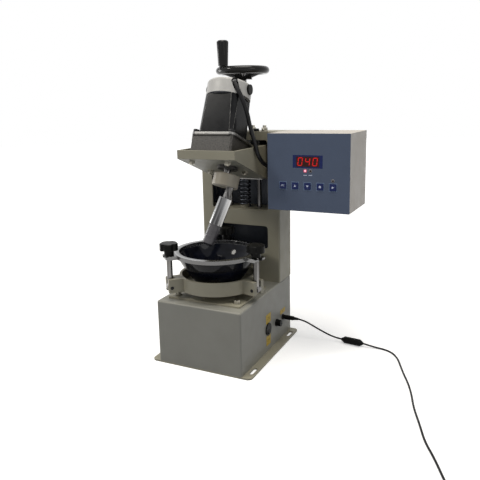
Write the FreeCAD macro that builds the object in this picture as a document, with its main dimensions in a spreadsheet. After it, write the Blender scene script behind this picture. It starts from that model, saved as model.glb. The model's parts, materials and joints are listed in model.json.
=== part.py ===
"""Analytical lab mill: a mortar grinder with an inclined pestle drive on a column.

Frame: +Z up, +X right, front = -Y, origin at the centre of the base plate's underside.
All lengths are millimetres, all angles degrees.
"""
import FreeCAD, Part
import math
import os
import re

import Sketcher
from FreeCAD import Placement, Rotation, Vector

SIZES = (
    # base
    ("base_width", 164, "base housing and column"),
    ("side_flange", 16.5, "base plate past each side of the housing"),
    ("base_depth", 229, "base housing and plate, front to back"),
    ("base_top", 116, "bench to the top of the base housing"),
    ("plate_thickness", 3, "base plate sheet"),
    ("plate_corner", 9, "corner radius of the base plate"),
    ("slot_width", 7, "bench slots, for M6"),
    ("slot_length", 24, "bench slots, end to end"),
    ("slot_inset", 29, "base plate's front and rear edges to the bench slots"),
    ("sheet", 2, "base housing, covers and control box sheet"),
    ("fold_radius", 3, "outer radius of the folded edges"),
    # column
    ("column_depth", 56, "column, front face to rear"),
    ("column_top", 402, "bench to the column's top edge"),
    ("column_sheet", 3, "column sheet and motor tray sheet"),
    ("window_width", 118, "drive window in the column front"),
    ("window_sill", 253, "bench to the drive window's sill"),
    ("window_height", 133, "drive window"),
    ("window_corner", 6, "corner radius of both windows"),
    ("low_window_width", 116, "clearance window behind the mortar"),
    ("low_window_sill", 180, "bench to the clearance window's sill"),
    ("low_window_height", 44, "clearance window"),
    ("bridge_thickness", 6, "top plate and spring shelf"),
    ("shelf_top", 255, "bench to the top of the spring shelf"),
    ("rod_radius", 4, "guide rods"),
    ("rod_spacing", 62, "guide rods, centre to centre"),
    ("rod_setback", 24.5, "column front to the guide rods and the lead screw"),
    ("rod_overhang", 11, "guide rods below the shelf"),
    ("spring_radius", 10.5, "pressure spring, to the wire's centre"),
    ("spring_wire", 3, "pressure spring wire diameter"),
    ("spring_count", 7, "turns of the pressure spring"),
    ("spring_seat_radius", 8, "spigots inside the spring's ends"),
    ("spring_seat_height", 5, "spigots inside the spring's ends"),
    # carriage and motor tray
    ("block_width", 90, "carriage block"),
    ("block_depth", 40, "carriage block"),
    ("block_bottom", 312, "bench to the carriage block's underside as photographed"),
    ("block_height", 60, "carriage block"),
    ("tray_width", 111, "motor tray, outside"),
    ("tray_reach", 127.5, "column front to the tray's front lip"),
    ("lip_bottom", 362, "bench to the lower edge of the tray's lip"),
    ("lip_height", 15, "front lip of the motor tray"),
    ("tray_slope", 20, "slope of the tray floor, lower at the rear"),
    # drive motor, along the tray's slope from its lip
    ("drive_place", 50, "lip to the gearbox axis, along the slope"),
    ("gearbox_size", 80, "square gearbox"),
    ("gearbox_corner", 4, "corner radius of the gearbox"),
    ("gearbox_height", 42, "gearbox without its flange"),
    ("flange_height", 6.5, "flange between gearbox and motor"),
    ("flange_size", 83, "square flange"),
    ("flange_corner", 9, "corner radius of the flange"),
    ("motor_foot_radius", 43.5, "motor body at the flange"),
    ("motor_radius", 40, "motor body at its top, and the cap"),
    ("motor_flats", 66, "motor body across its flats"),
    ("motor_length", 73, "motor body"),
    ("cap_height", 27, "motor end cap"),
    ("cap_round", 5, "rounded top edge of the end cap"),
    ("brush_radius", 9, "brush cap"),
    ("brush_proud", 2.5, "brush cap, proud of the end cap"),
    ("brush_drop", 11, "brush cap axis below the top of the end cap"),
    ("cable_diameter", 7.5, "motor lead"),
    ("cable_angle", -46, "way out of the motor lead, round the motor from the right"),
    ("cable_lean", 33, "the lead's first run to the motor axis, leaning to the right"),
    ("cable_hole_radius", 5.5, "hole of the motor lead in the end cap"),
    ("cable_hole_depth", 8, "hole of the motor lead in the end cap"),
    ("bolt_spacing", 69.6, "gearbox bolts"),
    ("bolt_radius", 3, "M6 bolts"),
    ("bolt_flats", 10, "M6 nuts and heads across flats"),
    ("bolt_nut", 5, "M6 nuts and heads, height"),
    ("washer_radius", 6.5, "washers under the seat plate's bolts"),
    ("washer_height", 1.2, "washers under the seat plate's bolts"),
    ("boss_radius", 18, "output boss under the gearbox"),
    ("boss_drop", 5, "output boss below the tray floor"),
    ("shaft_offset", 18, "output shaft to gearbox axis, to the right"),
    ("shaft_radius", 6, "output shaft"),
    # hub and pestle
    ("hub_radius", 22.9, "drive hub"),
    ("hub_gap", 13.6, "tray floor to the drive hub, on the shaft's axis"),
    ("hub_height", 22.4, "drive hub"),
    ("hub_edge", 1.2, "chamfers of the hub"),
    ("pestle_throw", 10.4, "hub axis to pestle axis at the hub's lower face"),
    ("pestle_tilt", 15.8, "pestle axis to hub axis"),
    ("pestle_shaft_radius", 6.2, "pestle shaft"),
    ("pestle_socket", 12.5, "depth of the pestle shaft in the hub"),
    ("pestle_neck", 20.8, "bare shaft between hub and sleeve"),
    ("sleeve_radius", 11.7, "steel sleeve of the pestle"),
    ("sleeve_length", 49, "steel sleeve of the pestle"),
    ("sleeve_cap", 6, "solid top of the sleeve"),
    ("pestle_radius", 10.9, "agate pestle"),
    ("pestle_reach", 38.7, "agate pestle below its sleeve"),
    ("pestle_dome", 16, "radius of the pestle's rounded end"),
    # mortar turntable
    ("mortar_reach", 95.5, "column front to the mortar axis"),
    ("seat_plate_width", 142, "plate on the base under the turntable"),
    ("seat_plate_depth", 115, "plate on the base under the turntable"),
    ("seat_plate_thickness", 3, "plate on the base under the turntable"),
    ("seat_bolt_width", 117, "hex bolts of that plate, side to side"),
    ("seat_bolt_depth", 85, "hex bolts of that plate, front to back"),
    ("bearing_radius", 32, "spindle bearing housing"),
    ("bearing_height", 9.5, "spindle bearing housing"),
    ("spindle_radius", 10, "turntable spindle"),
    ("collar_radius", 17, "collar of the turntable spindle"),
    ("cup_bottom", 132, "bench to the underside of the mortar cup"),
    ("cup_height", 24, "mortar cup"),
    ("cup_radius", 69, "mortar cup, outside"),
    ("cup_wall", 4.5, "mortar cup wall"),
    ("cup_floor", 6, "mortar cup floor"),
    ("rim_top", 191, "bench to the top of the agate mortar"),
    ("bowl_mouth", 66, "radius of the bowl's mouth"),
    ("bowl_radius", 71, "spherical radius of the bowl"),
    ("mortar_rim", 76, "outer radius of the mortar's rim"),
    ("mortar_lip", 6, "height of the mortar's rim"),
    ("mortar_foot", 40, "radius of the mortar's foot"),
    ("ring_bore", 68.4, "clamp ring, inner radius"),
    ("ring_radius", 78, "clamp ring, outer radius"),
    ("ring_height", 6.5, "clamp ring"),
    ("ear_reach", 10, "ears of the clamp ring, past the clamp rods"),
    ("ear_width", 27, "ears of the clamp ring"),
    # clamps
    ("clamp_radius", 88, "mortar axis to the clamp rods"),
    ("clamp_angle", 106.5, "first clamp, from +X"),
    ("clamp_rod", 5, "radius of the clamp rods"),
    ("pivot_height", 141, "bench to the clamp pins"),
    ("eye_radius", 7, "eye of a clamp rod"),
    ("eye_width", 10.6, "eye of a clamp rod"),
    ("pin_radius", 3, "clamp pins"),
    ("lug_width", 26, "clevis lug of the cup"),
    ("lug_reach", 5.5, "clevis lug past the clamp rods"),
    ("knob_radius", 16, "star knob"),
    ("knob_height", 12.5, "star part of a knob"),
    ("knob_hub_radius", 8.5, "hub of a star knob"),
    ("knob_hub_height", 9, "hub of a star knob"),
    ("knob_notch", 5.5, "radius of the hollows between the star's points"),
    # lift
    ("screw_radius", 7, "lead screw"),
    ("screw_socket", 22, "depth of the lead screw in the carriage block"),
    ("thrust_radius", 12, "thrust collar of the lead screw"),
    ("thrust_height", 5, "thrust collar of the lead screw"),
    ("wheel_top", 520.5, "bench to the top of the handwheel's rim"),
    ("wheel_radius", 50, "handwheel"),
    ("wheel_rim", 7, "radius of the handwheel's rim section"),
    ("wheel_hub_radius", 18, "handwheel hub"),
    ("wheel_hub_height", 12, "handwheel hub"),
    ("wheel_dish", 10.5, "rim centre above the hub's middle"),
    ("spoke_radius", 6, "spokes at the hub"),
    ("grip_angle", 240, "place of the grip round the wheel, from +X"),
    ("grip_length", 44.5, "revolving grip"),
    ("grip_foot_radius", 9, "revolving grip, bottom"),
    ("grip_top_radius", 10.6, "revolving grip, near its top"),
    ("grip_pin_radius", 4, "spindle of the grip"),
    ("grip_collar", 1, "collar under the grip"),
    ("grip_flutes", 8, "flutes round the grip"),
    ("flute_radius", 4, "flutes of the grip"),
    ("flute_depth", 0.9, "flutes of the grip, at its top"),
    # control box
    ("box_width", 146, "control box"),
    ("box_depth", 109, "control box"),
    ("box_height", 133, "control box"),
    ("panel_thickness", 2, "control panel"),
    ("display_width", 53, "display window"),
    ("display_height", 22, "display window"),
    ("display_drop", 47.3, "box top to the display window's middle"),
    ("key_size", 11, "square keys"),
    ("key_pitch", 22.3, "square keys"),
    ("key_drop", 89.1, "box top to the keys' middle"),
    ("key_proud", 1.2, "keys proud of the panel"),
    ("key_depth", 6, "keys, front to back"),
    ("key_travel", 0.6, "travel of a key"),
    ("board_setback", 9, "panel's rear face to the control board"),
    ("board_thickness", 1.6, "control board"),
    ("board_post", 3, "radius of the board's posts"),
    ("gland_place", 49, "motor lead's gland, along the box's left wall"),
    ("gland_height", 335, "bench to the motor lead's gland"),
    ("gland_radius", 6, "hole of the motor lead's gland"),
    # right side of the base
    ("switch_place", -1, "rocker switch, along the base"),
    ("switch_height", 45, "bench to the rocker switch"),
    ("switch_radius", 9.8, "cut-out of the rocker switch"),
    ("switch_bezel", 11.6, "bezel of the rocker switch"),
    ("bezel_height", 2, "bezels and nuts on the side wall"),
    ("switch_depth", 20, "switch body behind the wall"),
    ("rocker_width", 10, "rocker, front to back"),
    ("rocker_radius", 8, "ends of the rocker, about its pin"),
    ("rocker_tilt", 8, "tilt of the rocker to either side"),
    ("rocker_proud", 3, "ends of the rocker past the wall, when level"),
    ("rocker_sag", 1.2, "hollow of the rocker's face"),
    ("rocker_depth", 3, "rocker behind the wall"),
    ("fuse_place", 39.5, "fuse holder, along the base"),
    ("fuse_radius", 6.2, "fuse holder barrel"),
    ("fuse_cap_radius", 5, "fuse cap"),
    ("fuse_head_radius", 6.2, "head of the fuse cap, outside its holder"),
    ("fuse_cap_proud", 8, "fuse cap past its holder's bezel"),
    ("fuse_depth", 30, "fuse holder behind the wall"),
    ("jack_place", 71.3, "supply socket, along the base"),
    ("inlet_height", 42.5, "bench to the fuse holder and the supply socket"),
    ("jack_radius", 5.5, "supply socket nut"),
    ("jack_barrel", 4, "supply socket barrel"),
    ("jack_depth", 14, "supply socket behind the wall"),
    # supply lead
    ("plug_radius", 4.3, "supply plug"),
    ("plug_length", 20, "supply plug's grip"),
    ("plug_relief", 11, "strain relief of the supply plug"),
    ("cord_diameter", 3.2, "supply lead"),
    ("bead_radius", 6.5, "ferrite bead on the lead"),
    ("bead_length", 30, "cylindrical part of the bead"),
    ("bead_taper", 7, "tapered ends of the bead"),
    ("bead_mouth", 1.2, "recess in the bead's ends, round the lead"),
    ("coil_inner", 13.9, "mid-wire radius of the innermost turn"),
    ("coil_pitch", 4.1, "turn to turn in the put-away coil"),
    ("coil_layer", 4.1, "layer to layer in the put-away coil"),
    ("coil_in_count", 2.5, "turns of the coil's lower layer"),
    ("coil_out_count", 2.25, "turns of the coil's upper layer"),
    ("adapter_length", 92, "mains adapter"),
    ("adapter_width", 42, "mains adapter"),
    ("adapter_height", 27, "mains adapter"),
    ("adapter_corner", 5, "corner radius of the mains adapter"),
    ("adapter_relief", 24, "strain relief of the mains adapter"),
    # clearances
    ("running_gap", 0.05, "radial clearance of shafts in their bores"),
    ("seat_gap", 0.3, "gap between faces of parts that move on each other"),
    ("slide_gap", 0.3, "gap round keys, covers and rods in slots"),
    ("overrun", 5, "how far cutting tools run past a face"),
    # shares
    ("hub_lean_share", 0.4, "lean of the hub's body, to the pestle's tilt"),
    ("bowl_waist_share", 0.55, "mortar's outside at half height, from foot to rim"),
    ("hub_taper_share", 0.7, "top of the handwheel hub to its foot"),
    ("hub_rise_share", 1.1, "top of the handwheel hub above its middle, to its height"),
    ("spoke_taper_share", 0.8, "outer end of a spoke to its inner end"),
    ("grip_hold_share", 0.8, "spindle inside the grip, to the grip's length"),
    ("relief_share", 0.85, "wide end of a strain relief to its plug"),
    ("relief_end_share", 1.3, "narrow end of a strain relief to its lead"),
)

# Places that follow from the sizes, as expressions of them.
PLACES = {
    "column_front": "(base_depth / 2 - column_depth)",
    "column_inner_width": "(base_width - 2 * column_sheet)",
    "plate_width": "(base_width + 2 * side_flange)",
    "slot_spacing": "(base_depth - 2 * slot_inset)",
    "mortar_place": "(column_front - mortar_reach)",
    "tray_front": "(column_front - tray_reach)",
    "cavity_front": "(column_front + column_sheet)",
    "cavity_rear": "(base_depth / 2 - sheet)",
    "side_face": "(base_width / 2)",
    "guide_y": "(column_front + rod_setback)",
    "top_plate_low": "(column_top - bridge_thickness)",
    "block_front": "(cavity_front + column_sheet)",
    "block_top": "(block_bottom + block_height)",
    "lip_top": "(lip_bottom + lip_height)",
    "tray_fall": "tan(tray_slope)",
    "tray_bend": "(column_sheet / cos(tray_slope))",
    "floor_rear": "(lip_bottom - (block_front - tray_front) * tray_fall)",
    "flange_low": "(column_sheet + gearbox_height)",
    "motor_low": "(flange_low + flange_height)",
    "cap_low": "(motor_low + motor_length)",
    "cap_top": "(cap_low + cap_height)",
    "hub_top": "(0 - hub_gap)",
    "hub_low": "(hub_top - hub_height)",
    "seat_top": "(base_top + seat_plate_thickness)",
    "cup_top": "(cup_bottom + cup_height)",
    "foot_low": "(cup_bottom + cup_floor)",
    "bowl_centre": "(rim_top + sqrt(bowl_radius * bowl_radius - bowl_mouth * bowl_mouth))",
    "ring_top": "(rim_top + ring_height)",
    "ear_end": "(clamp_radius + ear_reach)",
    "rod_slot": "(clamp_rod + slide_gap + running_gap)",
    "knob_low": "(ring_top + seat_gap)",
    "star_low": "(knob_low + knob_hub_height)",
    "knob_top": "(star_low + knob_height)",
    "lug_end": "(clamp_radius + lug_reach)",
    "rim_height": "(wheel_top - wheel_rim)",
    "rim_circle": "(wheel_radius - wheel_rim)",
    "wheel_hub_low": "(rim_height - wheel_dish)",
    "grip_low": "(wheel_top + grip_collar)",
    "box_right": "(side_face + box_width)",
    "box_middle": "(side_face + box_width / 2)",
    "box_bottom": "(column_top - box_height)",
    "box_front": "(base_depth / 2 - box_depth)",
    "panel_rear": "(box_front + panel_thickness)",
    "board_front": "(panel_rear + board_setback)",
    "display_z": "(column_top - display_drop)",
    "key_z": "(column_top - key_drop)",
    "plug_start": "(side_face + bezel_height + running_gap)",
    "plug_end": "(plug_start + plug_length + plug_relief)",
    "cord_radius": "(cord_diameter / 2)",
}

# Supply lead, plug to bead: falls from the plug to the bench.
LEAD_TO_BEAD = (
    (115.05, 71.3, 42.5),
    (127.0, 71.6, 41.0),
    (142.0, 76.6, 31.6),
    (158.0, 81.8, 21.6),
    (173.0, 86.6, 13.4),
    (184.5, 90.6, 8.6),
    (194.0, 92.6, 6.9),
)
# Supply lead, bead to put-away coil: along the bench, curving to the front.
LEAD_TO_COIL = (
    (237.2, 88.4, 6.9),
    (247.5, 88.5, 5.2),
    (261.0, 90.9, 2.2),
    (277.5, 89.6, 1.7),
    (293.0, 80.6, 1.7),
    (305.0, 62.6, 1.7),
    (314.2, 37.6, 1.7),
    (324.4, 9.5, 1.7),
    (337.0, -20.5, 1.7),
    (347.6, -54.0, 1.7),
    (356.5, -91.5, 1.7),
    (370.6, -131.0, 1.7),
    (383.0, -170.5, 1.7),
    (399.5, -203.0, 1.7),
    (415.3, -240.5, 1.7),
    (431.2, -277.3, 1.7),
)
BEAD_AXIS = ((194.0, 92.6, 6.9), (237.2, 88.4, 6.9))
# Motor lead: out of the end cap, down the motor's right side and past the tray to the box.
MOTOR_LEAD = (
    (23.6, 0.5, 490.4),
    (38.0, -7.6, 470.0),
    (45.8, 1.5, 441.0),
    (48.2, 9.0, 410.0),
    (59.0, 5.5, 383.0),
    (62.5, 9.0, 361.0),
    (65.5, 35.0, 341.0),
    (78.4, 48.0, 335.4),
)
ARC_SHARE = 0.45
HALF_TURN = 1 / 2
TINY = 1e-4

WORD = re.compile(r"[A-Za-z_][A-Za-z_0-9]*")
NAMES = {row[0] for row in SIZES}

doc = FreeCAD.newDocument("LabMill")
sheet = doc.addObject("Spreadsheet::Sheet", "Sizes")
for row, (alias, amount, note) in enumerate(SIZES, start=1):
    sheet.set(f"A{row}", alias)
    sheet.set(f"B{row}", str(amount))
    sheet.set(f"C{row}", note)
    sheet.setAlias(f"B{row}", alias)
doc.recompute()

nodes = []


def formula(text):
    """The expression with each named place spelt out and each size read from the sheet."""
    def spell(match):
        word = match.group()
        if word in PLACES:
            return formula(PLACES[word])
        return "Sizes." + word if word in NAMES else word
    return WORD.sub(spell, str(text))


def number(text):
    """The value of an expression of named sizes."""
    result = sheet.evalExpression(formula(text))
    return float(getattr(result, "Value", result))


def point(x, y, z):
    return Vector(number(x), number(y), number(z))


def bind(thing, **properties):
    for name, text in properties.items():
        thing.setExpression(name, formula(text))


def move(thing, x="0", y="0", z="0"):
    """Bind the place of an object to named sizes."""
    for axis, text in zip("xyz", (x, y, z)):
        thing.setExpression(f"Placement.Base.{axis}", formula(text))
    return thing


def node(label, thing, frame=None):
    """Name a finished sub-part, and put it in a tilted frame if it has one."""
    thing.Label = label
    if frame is not None:
        thing.Placement = frame
    nodes.append(thing)
    return thing


TURN_TO = {
    "z": Rotation(),
    "x": Rotation(Vector(0, 1, 0), 90),
    "y": Rotation(Vector(1, 0, 0), -90),
}


def box(name, low, size):
    """A block from its low corner and its three lengths."""
    solid = doc.addObject("Part::Box", name)
    bind(solid, Length=size[0], Width=size[1], Height=size[2])
    return move(solid, *low)


def block(name, middle, size):
    """A block on a base point that is the middle of its lower face."""
    x, y, z = middle
    return box(name, (f"{x} - ({size[0]}) / 2", f"{y} - ({size[1]}) / 2", z), size)


def cylinder(name, foot, radius, height, axis="z"):
    solid = doc.addObject("Part::Cylinder", name)
    bind(solid, Radius=radius, Height=height)
    solid.Placement = Placement(Vector(), TURN_TO[axis])
    return move(solid, *foot)


def cone(name, foot, radii, height, axis="z"):
    solid = doc.addObject("Part::Cone", name)
    bind(solid, Radius1=radii[0], Radius2=radii[1], Height=height)
    solid.Placement = Placement(Vector(), TURN_TO[axis])
    return move(solid, *foot)


def ball(name, middle, radius):
    solid = doc.addObject("Part::Sphere", name)
    bind(solid, Radius=radius)
    return move(solid, *middle)


def hexagon(name, foot, flats, height):
    solid = doc.addObject("Part::Prism", name)
    solid.Polygon = 6
    bind(solid, Circumradius=f"({flats}) / sqrt(3)", Height=height)
    return move(solid, *foot)


def fuse(name, parts):
    union = doc.addObject("Part::MultiFuse", name)
    union.Shapes = list(parts)
    union.Refine = True
    return union


def cut(name, base, tools):
    tools = list(tools)
    difference = doc.addObject("Part::Cut", name)
    difference.Base = base
    difference.Tool = tools[0] if len(tools) == 1 else fuse(name + "_tools", tools)
    difference.Refine = True
    return difference


def common(name, base, tool):
    overlap = doc.addObject("Part::Common", name)
    overlap.Base = base
    overlap.Tool = tool
    return overlap


def group(name, parts):
    """Several separate solids of one kind in one sub-part."""
    together = doc.addObject("Part::Compound", name)
    together.Links = list(parts)
    return together


def made(name, shape):
    """A sub-part whose shape is worked out below from the named sizes."""
    solid = doc.addObject("Part::Feature", name)
    solid.Shape = shape
    return solid


def new_body(name):
    return doc.addObject("PartDesign::Body", name)


def new_sketch(body, plane, name):
    """A sketch on one of the body's own origin planes."""
    sketch = body.newObject("Sketcher::SketchObject", name)
    role = plane + "_Plane"
    origin = next(item for item in body.Origin.OriginFeatures if item.Role == role)
    sketch.AttachmentSupport = [(origin, "")]
    sketch.MapMode = "FlatFace"
    return sketch


def hold(sketch, kind, text, *where):
    """A driving constraint bound to an expression of named sizes."""
    index = sketch.addConstraint(Sketcher.Constraint(kind, *where, number(text)))
    sketch.setExpression(f"Constraints[{index}]", formula(text))


def pin_point(sketch, line, end, x, y):
    """Tie a sketch point to its two coordinates."""
    if x == "0":
        sketch.addConstraint(Sketcher.Constraint("PointOnObject", line, end, -2))
    else:
        hold(sketch, "DistanceX", x, -1, 1, line, end)
    if y == "0":
        sketch.addConstraint(Sketcher.Constraint("PointOnObject", line, end, -1))
    else:
        hold(sketch, "DistanceY", y, -1, 1, line, end)


def outline(sketch, corners):
    """A closed outline of straight lines through named corners."""
    spots = [Vector(number(x), number(y), 0) for x, y in corners]
    count = len(spots)
    first = sketch.GeometryCount
    for i in range(count):
        sketch.addGeometry(Part.LineSegment(spots[i], spots[(i + 1) % count]), False)
    for i in range(count):
        after = first + (i + 1) % count
        sketch.addConstraint(Sketcher.Constraint("Coincident", first + i, 2, after, 1))
    for i, (x, y) in enumerate(corners):
        pin_point(sketch, first + i, 1, x, y)


def rounded(sketch, middle, size, radius):
    """A closed rectangle with rounded corners, held by its four straight sides."""
    cx, cy = number(middle[0]), number(middle[1])
    half_w, half_h, r = number(size[0]) / 2, number(size[1]) / 2, number(radius)
    first = sketch.GeometryCount
    inner_w, inner_h = half_w - r, half_h - r
    sides = (
        ((-inner_w, -half_h), (inner_w, -half_h)),
        ((half_w, -inner_h), (half_w, inner_h)),
        ((inner_w, half_h), (-inner_w, half_h)),
        ((-half_w, inner_h), (-half_w, -inner_h)),
    )
    for (x1, y1), (x2, y2) in sides:
        line = Part.LineSegment(Vector(cx + x1, cy + y1, 0), Vector(cx + x2, cy + y2, 0))
        sketch.addGeometry(line, False)
    quarter = math.pi / 2
    middles = ((inner_w, -inner_h), (inner_w, inner_h), (-inner_w, inner_h), (-inner_w, -inner_h))
    for i, (x, y) in enumerate(middles):
        circle = Part.Circle(Vector(cx + x, cy + y, 0), Vector(0, 0, 1), r)
        start = (i - 1) * quarter
        sketch.addGeometry(Part.ArcOfCircle(circle, start, start + quarter), False)
    for i in range(4):
        arc = first + 4 + i
        sketch.addConstraint(Sketcher.Constraint("Tangent", first + i, 2, arc, 1))
        sketch.addConstraint(Sketcher.Constraint("Tangent", arc, 2, first + (i + 1) % 4, 1))
        if i:
            sketch.addConstraint(Sketcher.Constraint("Equal", first + 4, arc))
    sketch.addConstraint(Sketcher.Constraint("Horizontal", first))
    sketch.addConstraint(Sketcher.Constraint("Vertical", first + 1))
    sketch.addConstraint(Sketcher.Constraint("Horizontal", first + 2))
    sketch.addConstraint(Sketcher.Constraint("Vertical", first + 3))
    hold(sketch, "Radius", radius, first + 4)
    hold(sketch, "DistanceX", f"{middle[0]} + ({size[0]}) / 2", -1, 1, first + 1, 1)
    hold(sketch, "DistanceX", f"{middle[0]} - ({size[0]}) / 2", -1, 1, first + 3, 1)
    hold(sketch, "DistanceY", f"{middle[1]} + ({size[1]}) / 2", -1, 1, first + 2, 1)
    hold(sketch, "DistanceY", f"{middle[1]} - ({size[1]}) / 2", -1, 1, first, 1)


def slot(sketch, middle, width, length):
    """A slot along the sketch's Y axis with round ends."""
    cx, cy = number(middle[0]), number(middle[1])
    r = number(width) / 2
    run = number(length) / 2 - r
    first = sketch.GeometryCount
    up = Part.LineSegment(Vector(cx + r, cy - run, 0), Vector(cx + r, cy + run, 0))
    down = Part.LineSegment(Vector(cx - r, cy + run, 0), Vector(cx - r, cy - run, 0))
    top = Part.Circle(Vector(cx, cy + run, 0), Vector(0, 0, 1), r)
    low = Part.Circle(Vector(cx, cy - run, 0), Vector(0, 0, 1), r)
    sketch.addGeometry(up, False)
    sketch.addGeometry(Part.ArcOfCircle(top, 0, math.pi), False)
    sketch.addGeometry(down, False)
    sketch.addGeometry(Part.ArcOfCircle(low, math.pi, 2 * math.pi), False)
    for i in range(4):
        after = first + (i + 1) % 4
        sketch.addConstraint(Sketcher.Constraint("Tangent", first + i, 2, after, 1))
    sketch.addConstraint(Sketcher.Constraint("Vertical", first))
    sketch.addConstraint(Sketcher.Constraint("Vertical", first + 2))
    hold(sketch, "DistanceX", middle[0], -1, 1, first + 1, 3)
    hold(sketch, "DistanceY", f"{middle[1]} + ({length} - {width}) / 2", -1, 1, first + 1, 3)
    hold(sketch, "DistanceY", f"{middle[1]} - ({length} - {width}) / 2", -1, 1, first + 3, 3)
    hold(sketch, "Radius", f"({width}) / 2", first + 1)


def pad(body, sketch, length, both_ways=False, backwards=False):
    feature = body.newObject("PartDesign::Pad", sketch.Name + "_pad")
    feature.Profile = sketch
    feature.Midplane = both_ways
    feature.Reversed = backwards
    bind(feature, Length=length)
    return feature


def pocket(body, sketch, length=None, both_ways=False, backwards=False):
    """Cut the sketch out of the body, all the way through where no length is given."""
    feature = body.newObject("PartDesign::Pocket", sketch.Name + "_pocket")
    feature.Profile = sketch
    feature.Midplane = both_ways
    feature.Reversed = backwards
    if length is None:
        feature.Type = "ThroughAll"
    else:
        bind(feature, Length=length)
    return feature


def plate(name, middle, size, radius, low, height):
    """A flat plate with rounded corners, lying on the given height."""
    body = new_body(name)
    sketch = new_sketch(body, "XY", name + "_outline")
    rounded(sketch, middle, size, radius)
    pad(body, sketch, height)
    move(body, z=low)
    return body


def upright(name, middle, size, radius, front, depth):
    """A plate standing across the Y axis with rounded corners: its middle in X and Z."""
    body = new_body(name)
    sketch = new_sketch(body, "XZ", name + "_outline")
    rounded(sketch, middle, size, radius)
    pad(body, sketch, depth, backwards=True)
    move(body, y=front)
    return body


def turned(name, corners):
    """A body of revolution about its own Z axis, from (radius, height) corners."""
    body = new_body(name)
    sketch = new_sketch(body, "XZ", name + "_profile")
    outline(sketch, corners)
    feature = body.newObject("PartDesign::Revolution", name + "_turning")
    feature.Profile = sketch
    feature.ReferenceAxis = (sketch, ["V_Axis"])
    feature.Angle = 360
    return body


def smooth(body, radius, picked):
    """Round the picked edges of the body's last feature."""
    doc.recompute()
    base = body.Tip
    names = [f"Edge{i}" for i, edge in enumerate(base.Shape.Edges, start=1) if picked(edge)]
    feature = body.newObject("PartDesign::Fillet", f"{body.Name}_fillet{len(body.Group)}")
    feature.Base = (base, names)
    bind(feature, Radius=radius)
    return body


def at_height(height):
    """Picks the edges that lie in one level plane of the body."""
    level = number(height)
    near = number("running_gap") / 2

    def picked(edge):
        box_of_edge = edge.BoundBox
        return abs(box_of_edge.ZMin - level) < near and abs(box_of_edge.ZMax - level) < near
    return picked


def about_mortar(index):
    """The frame of one clamp: local X points out from the mortar axis through the rod."""
    turn = number("clamp_angle") + 120 * index
    return Placement(point("0", "mortar_place", "0"), Rotation(Vector(0, 0, 1), turn))


def tray_frame():
    """The motor tray's sloping floor: local Y down the slope, local Z square to the floor."""
    tilt = Rotation(Vector(1, 0, 0), -number("tray_slope"))
    return Placement(point("0", "tray_front", "lip_bottom"), tilt)


def drive_frame():
    """The gearbox axis on the tray's floor."""
    return tray_frame() * Placement(point("0", "drive_place", "0"), Rotation())


def hub_frame():
    """The output shaft's axis, to the right of the gearbox axis."""
    return drive_frame() * Placement(point("shaft_offset", "0", "0"), Rotation())


def pestle_frame():
    """The pestle's axis where it leaves the hub: local Z up along the pestle."""
    tilt = Rotation(Vector(0, 1, 0), number("pestle_tilt"))
    return hub_frame() * Placement(point("pestle_throw", "0", "hub_low"), tilt)


def make_base():
    """Base plate with bench slots, and the folded housing on it."""
    body = new_body("base_plate_body")
    sketch = new_sketch(body, "XY", "base_plate_outline")
    rounded(sketch, ("0", "0"), ("plate_width", "base_depth"), "plate_corner")
    pad(body, sketch, "plate_thickness")
    holes = new_sketch(body, "XY", "bench_slots")
    flange = "(plate_width + base_width) / 4"
    for side in ("-", ""):
        for end in ("-", ""):
            place = (f"{side}{flange}" if side else flange, f"{end}slot_spacing / 2")
            slot(holes, place, "slot_width", "slot_length")
    pocket(body, holes, both_ways=True)
    node("base_plate", body)

    shell = new_body("housing_shell")
    wall = new_sketch(shell, "XY", "housing_outline")
    rounded(wall, ("0", "0"), ("base_width", "base_depth"), "fold_radius")
    pad(shell, wall, "base_top - plate_thickness")
    smooth(shell, "fold_radius - running_gap", at_height("base_top - plate_thickness"))
    inside = new_sketch(shell, "XY", "housing_inside")
    rounded(inside, ("0", "0"), ("base_width - 2 * sheet", "base_depth - 2 * sheet"),
            "fold_radius - sheet")
    pocket(shell, inside, "base_top - plate_thickness - sheet", backwards=True)
    move(shell, z="plate_thickness")
    reach = "sheet + 2 * overrun"
    wall_start = "side_face - sheet - overrun"
    holes = [
        cylinder("spindle_opening", ("0", "mortar_place", "base_top - sheet - overrun"),
                 "spindle_radius + overrun", reach),
        cylinder("switch_opening", (wall_start, "switch_place", "switch_height"),
                 "switch_radius", reach, "x"),
        cylinder("fuse_opening", (wall_start, "fuse_place", "inlet_height"),
                 "fuse_radius", reach, "x"),
        cylinder("jack_opening", (wall_start, "jack_place", "inlet_height"),
                 "jack_barrel", reach, "x"),
    ]
    holes += seat_bolt_holes("base_top - sheet - overrun", reach)
    node("base_housing", cut("base_housing_cut", shell, holes))


def seat_bolt_places():
    for x in ("-", ""):
        for y in ("-", "+"):
            yield f"{x}seat_bolt_width / 2", f"mortar_place {y} seat_bolt_depth / 2"


def seat_bolt_holes(low, height):
    return [cylinder("seat_bolt_hole", (x, y, low), "bolt_radius + slide_gap", height)
            for x, y in seat_bolt_places()]


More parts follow.
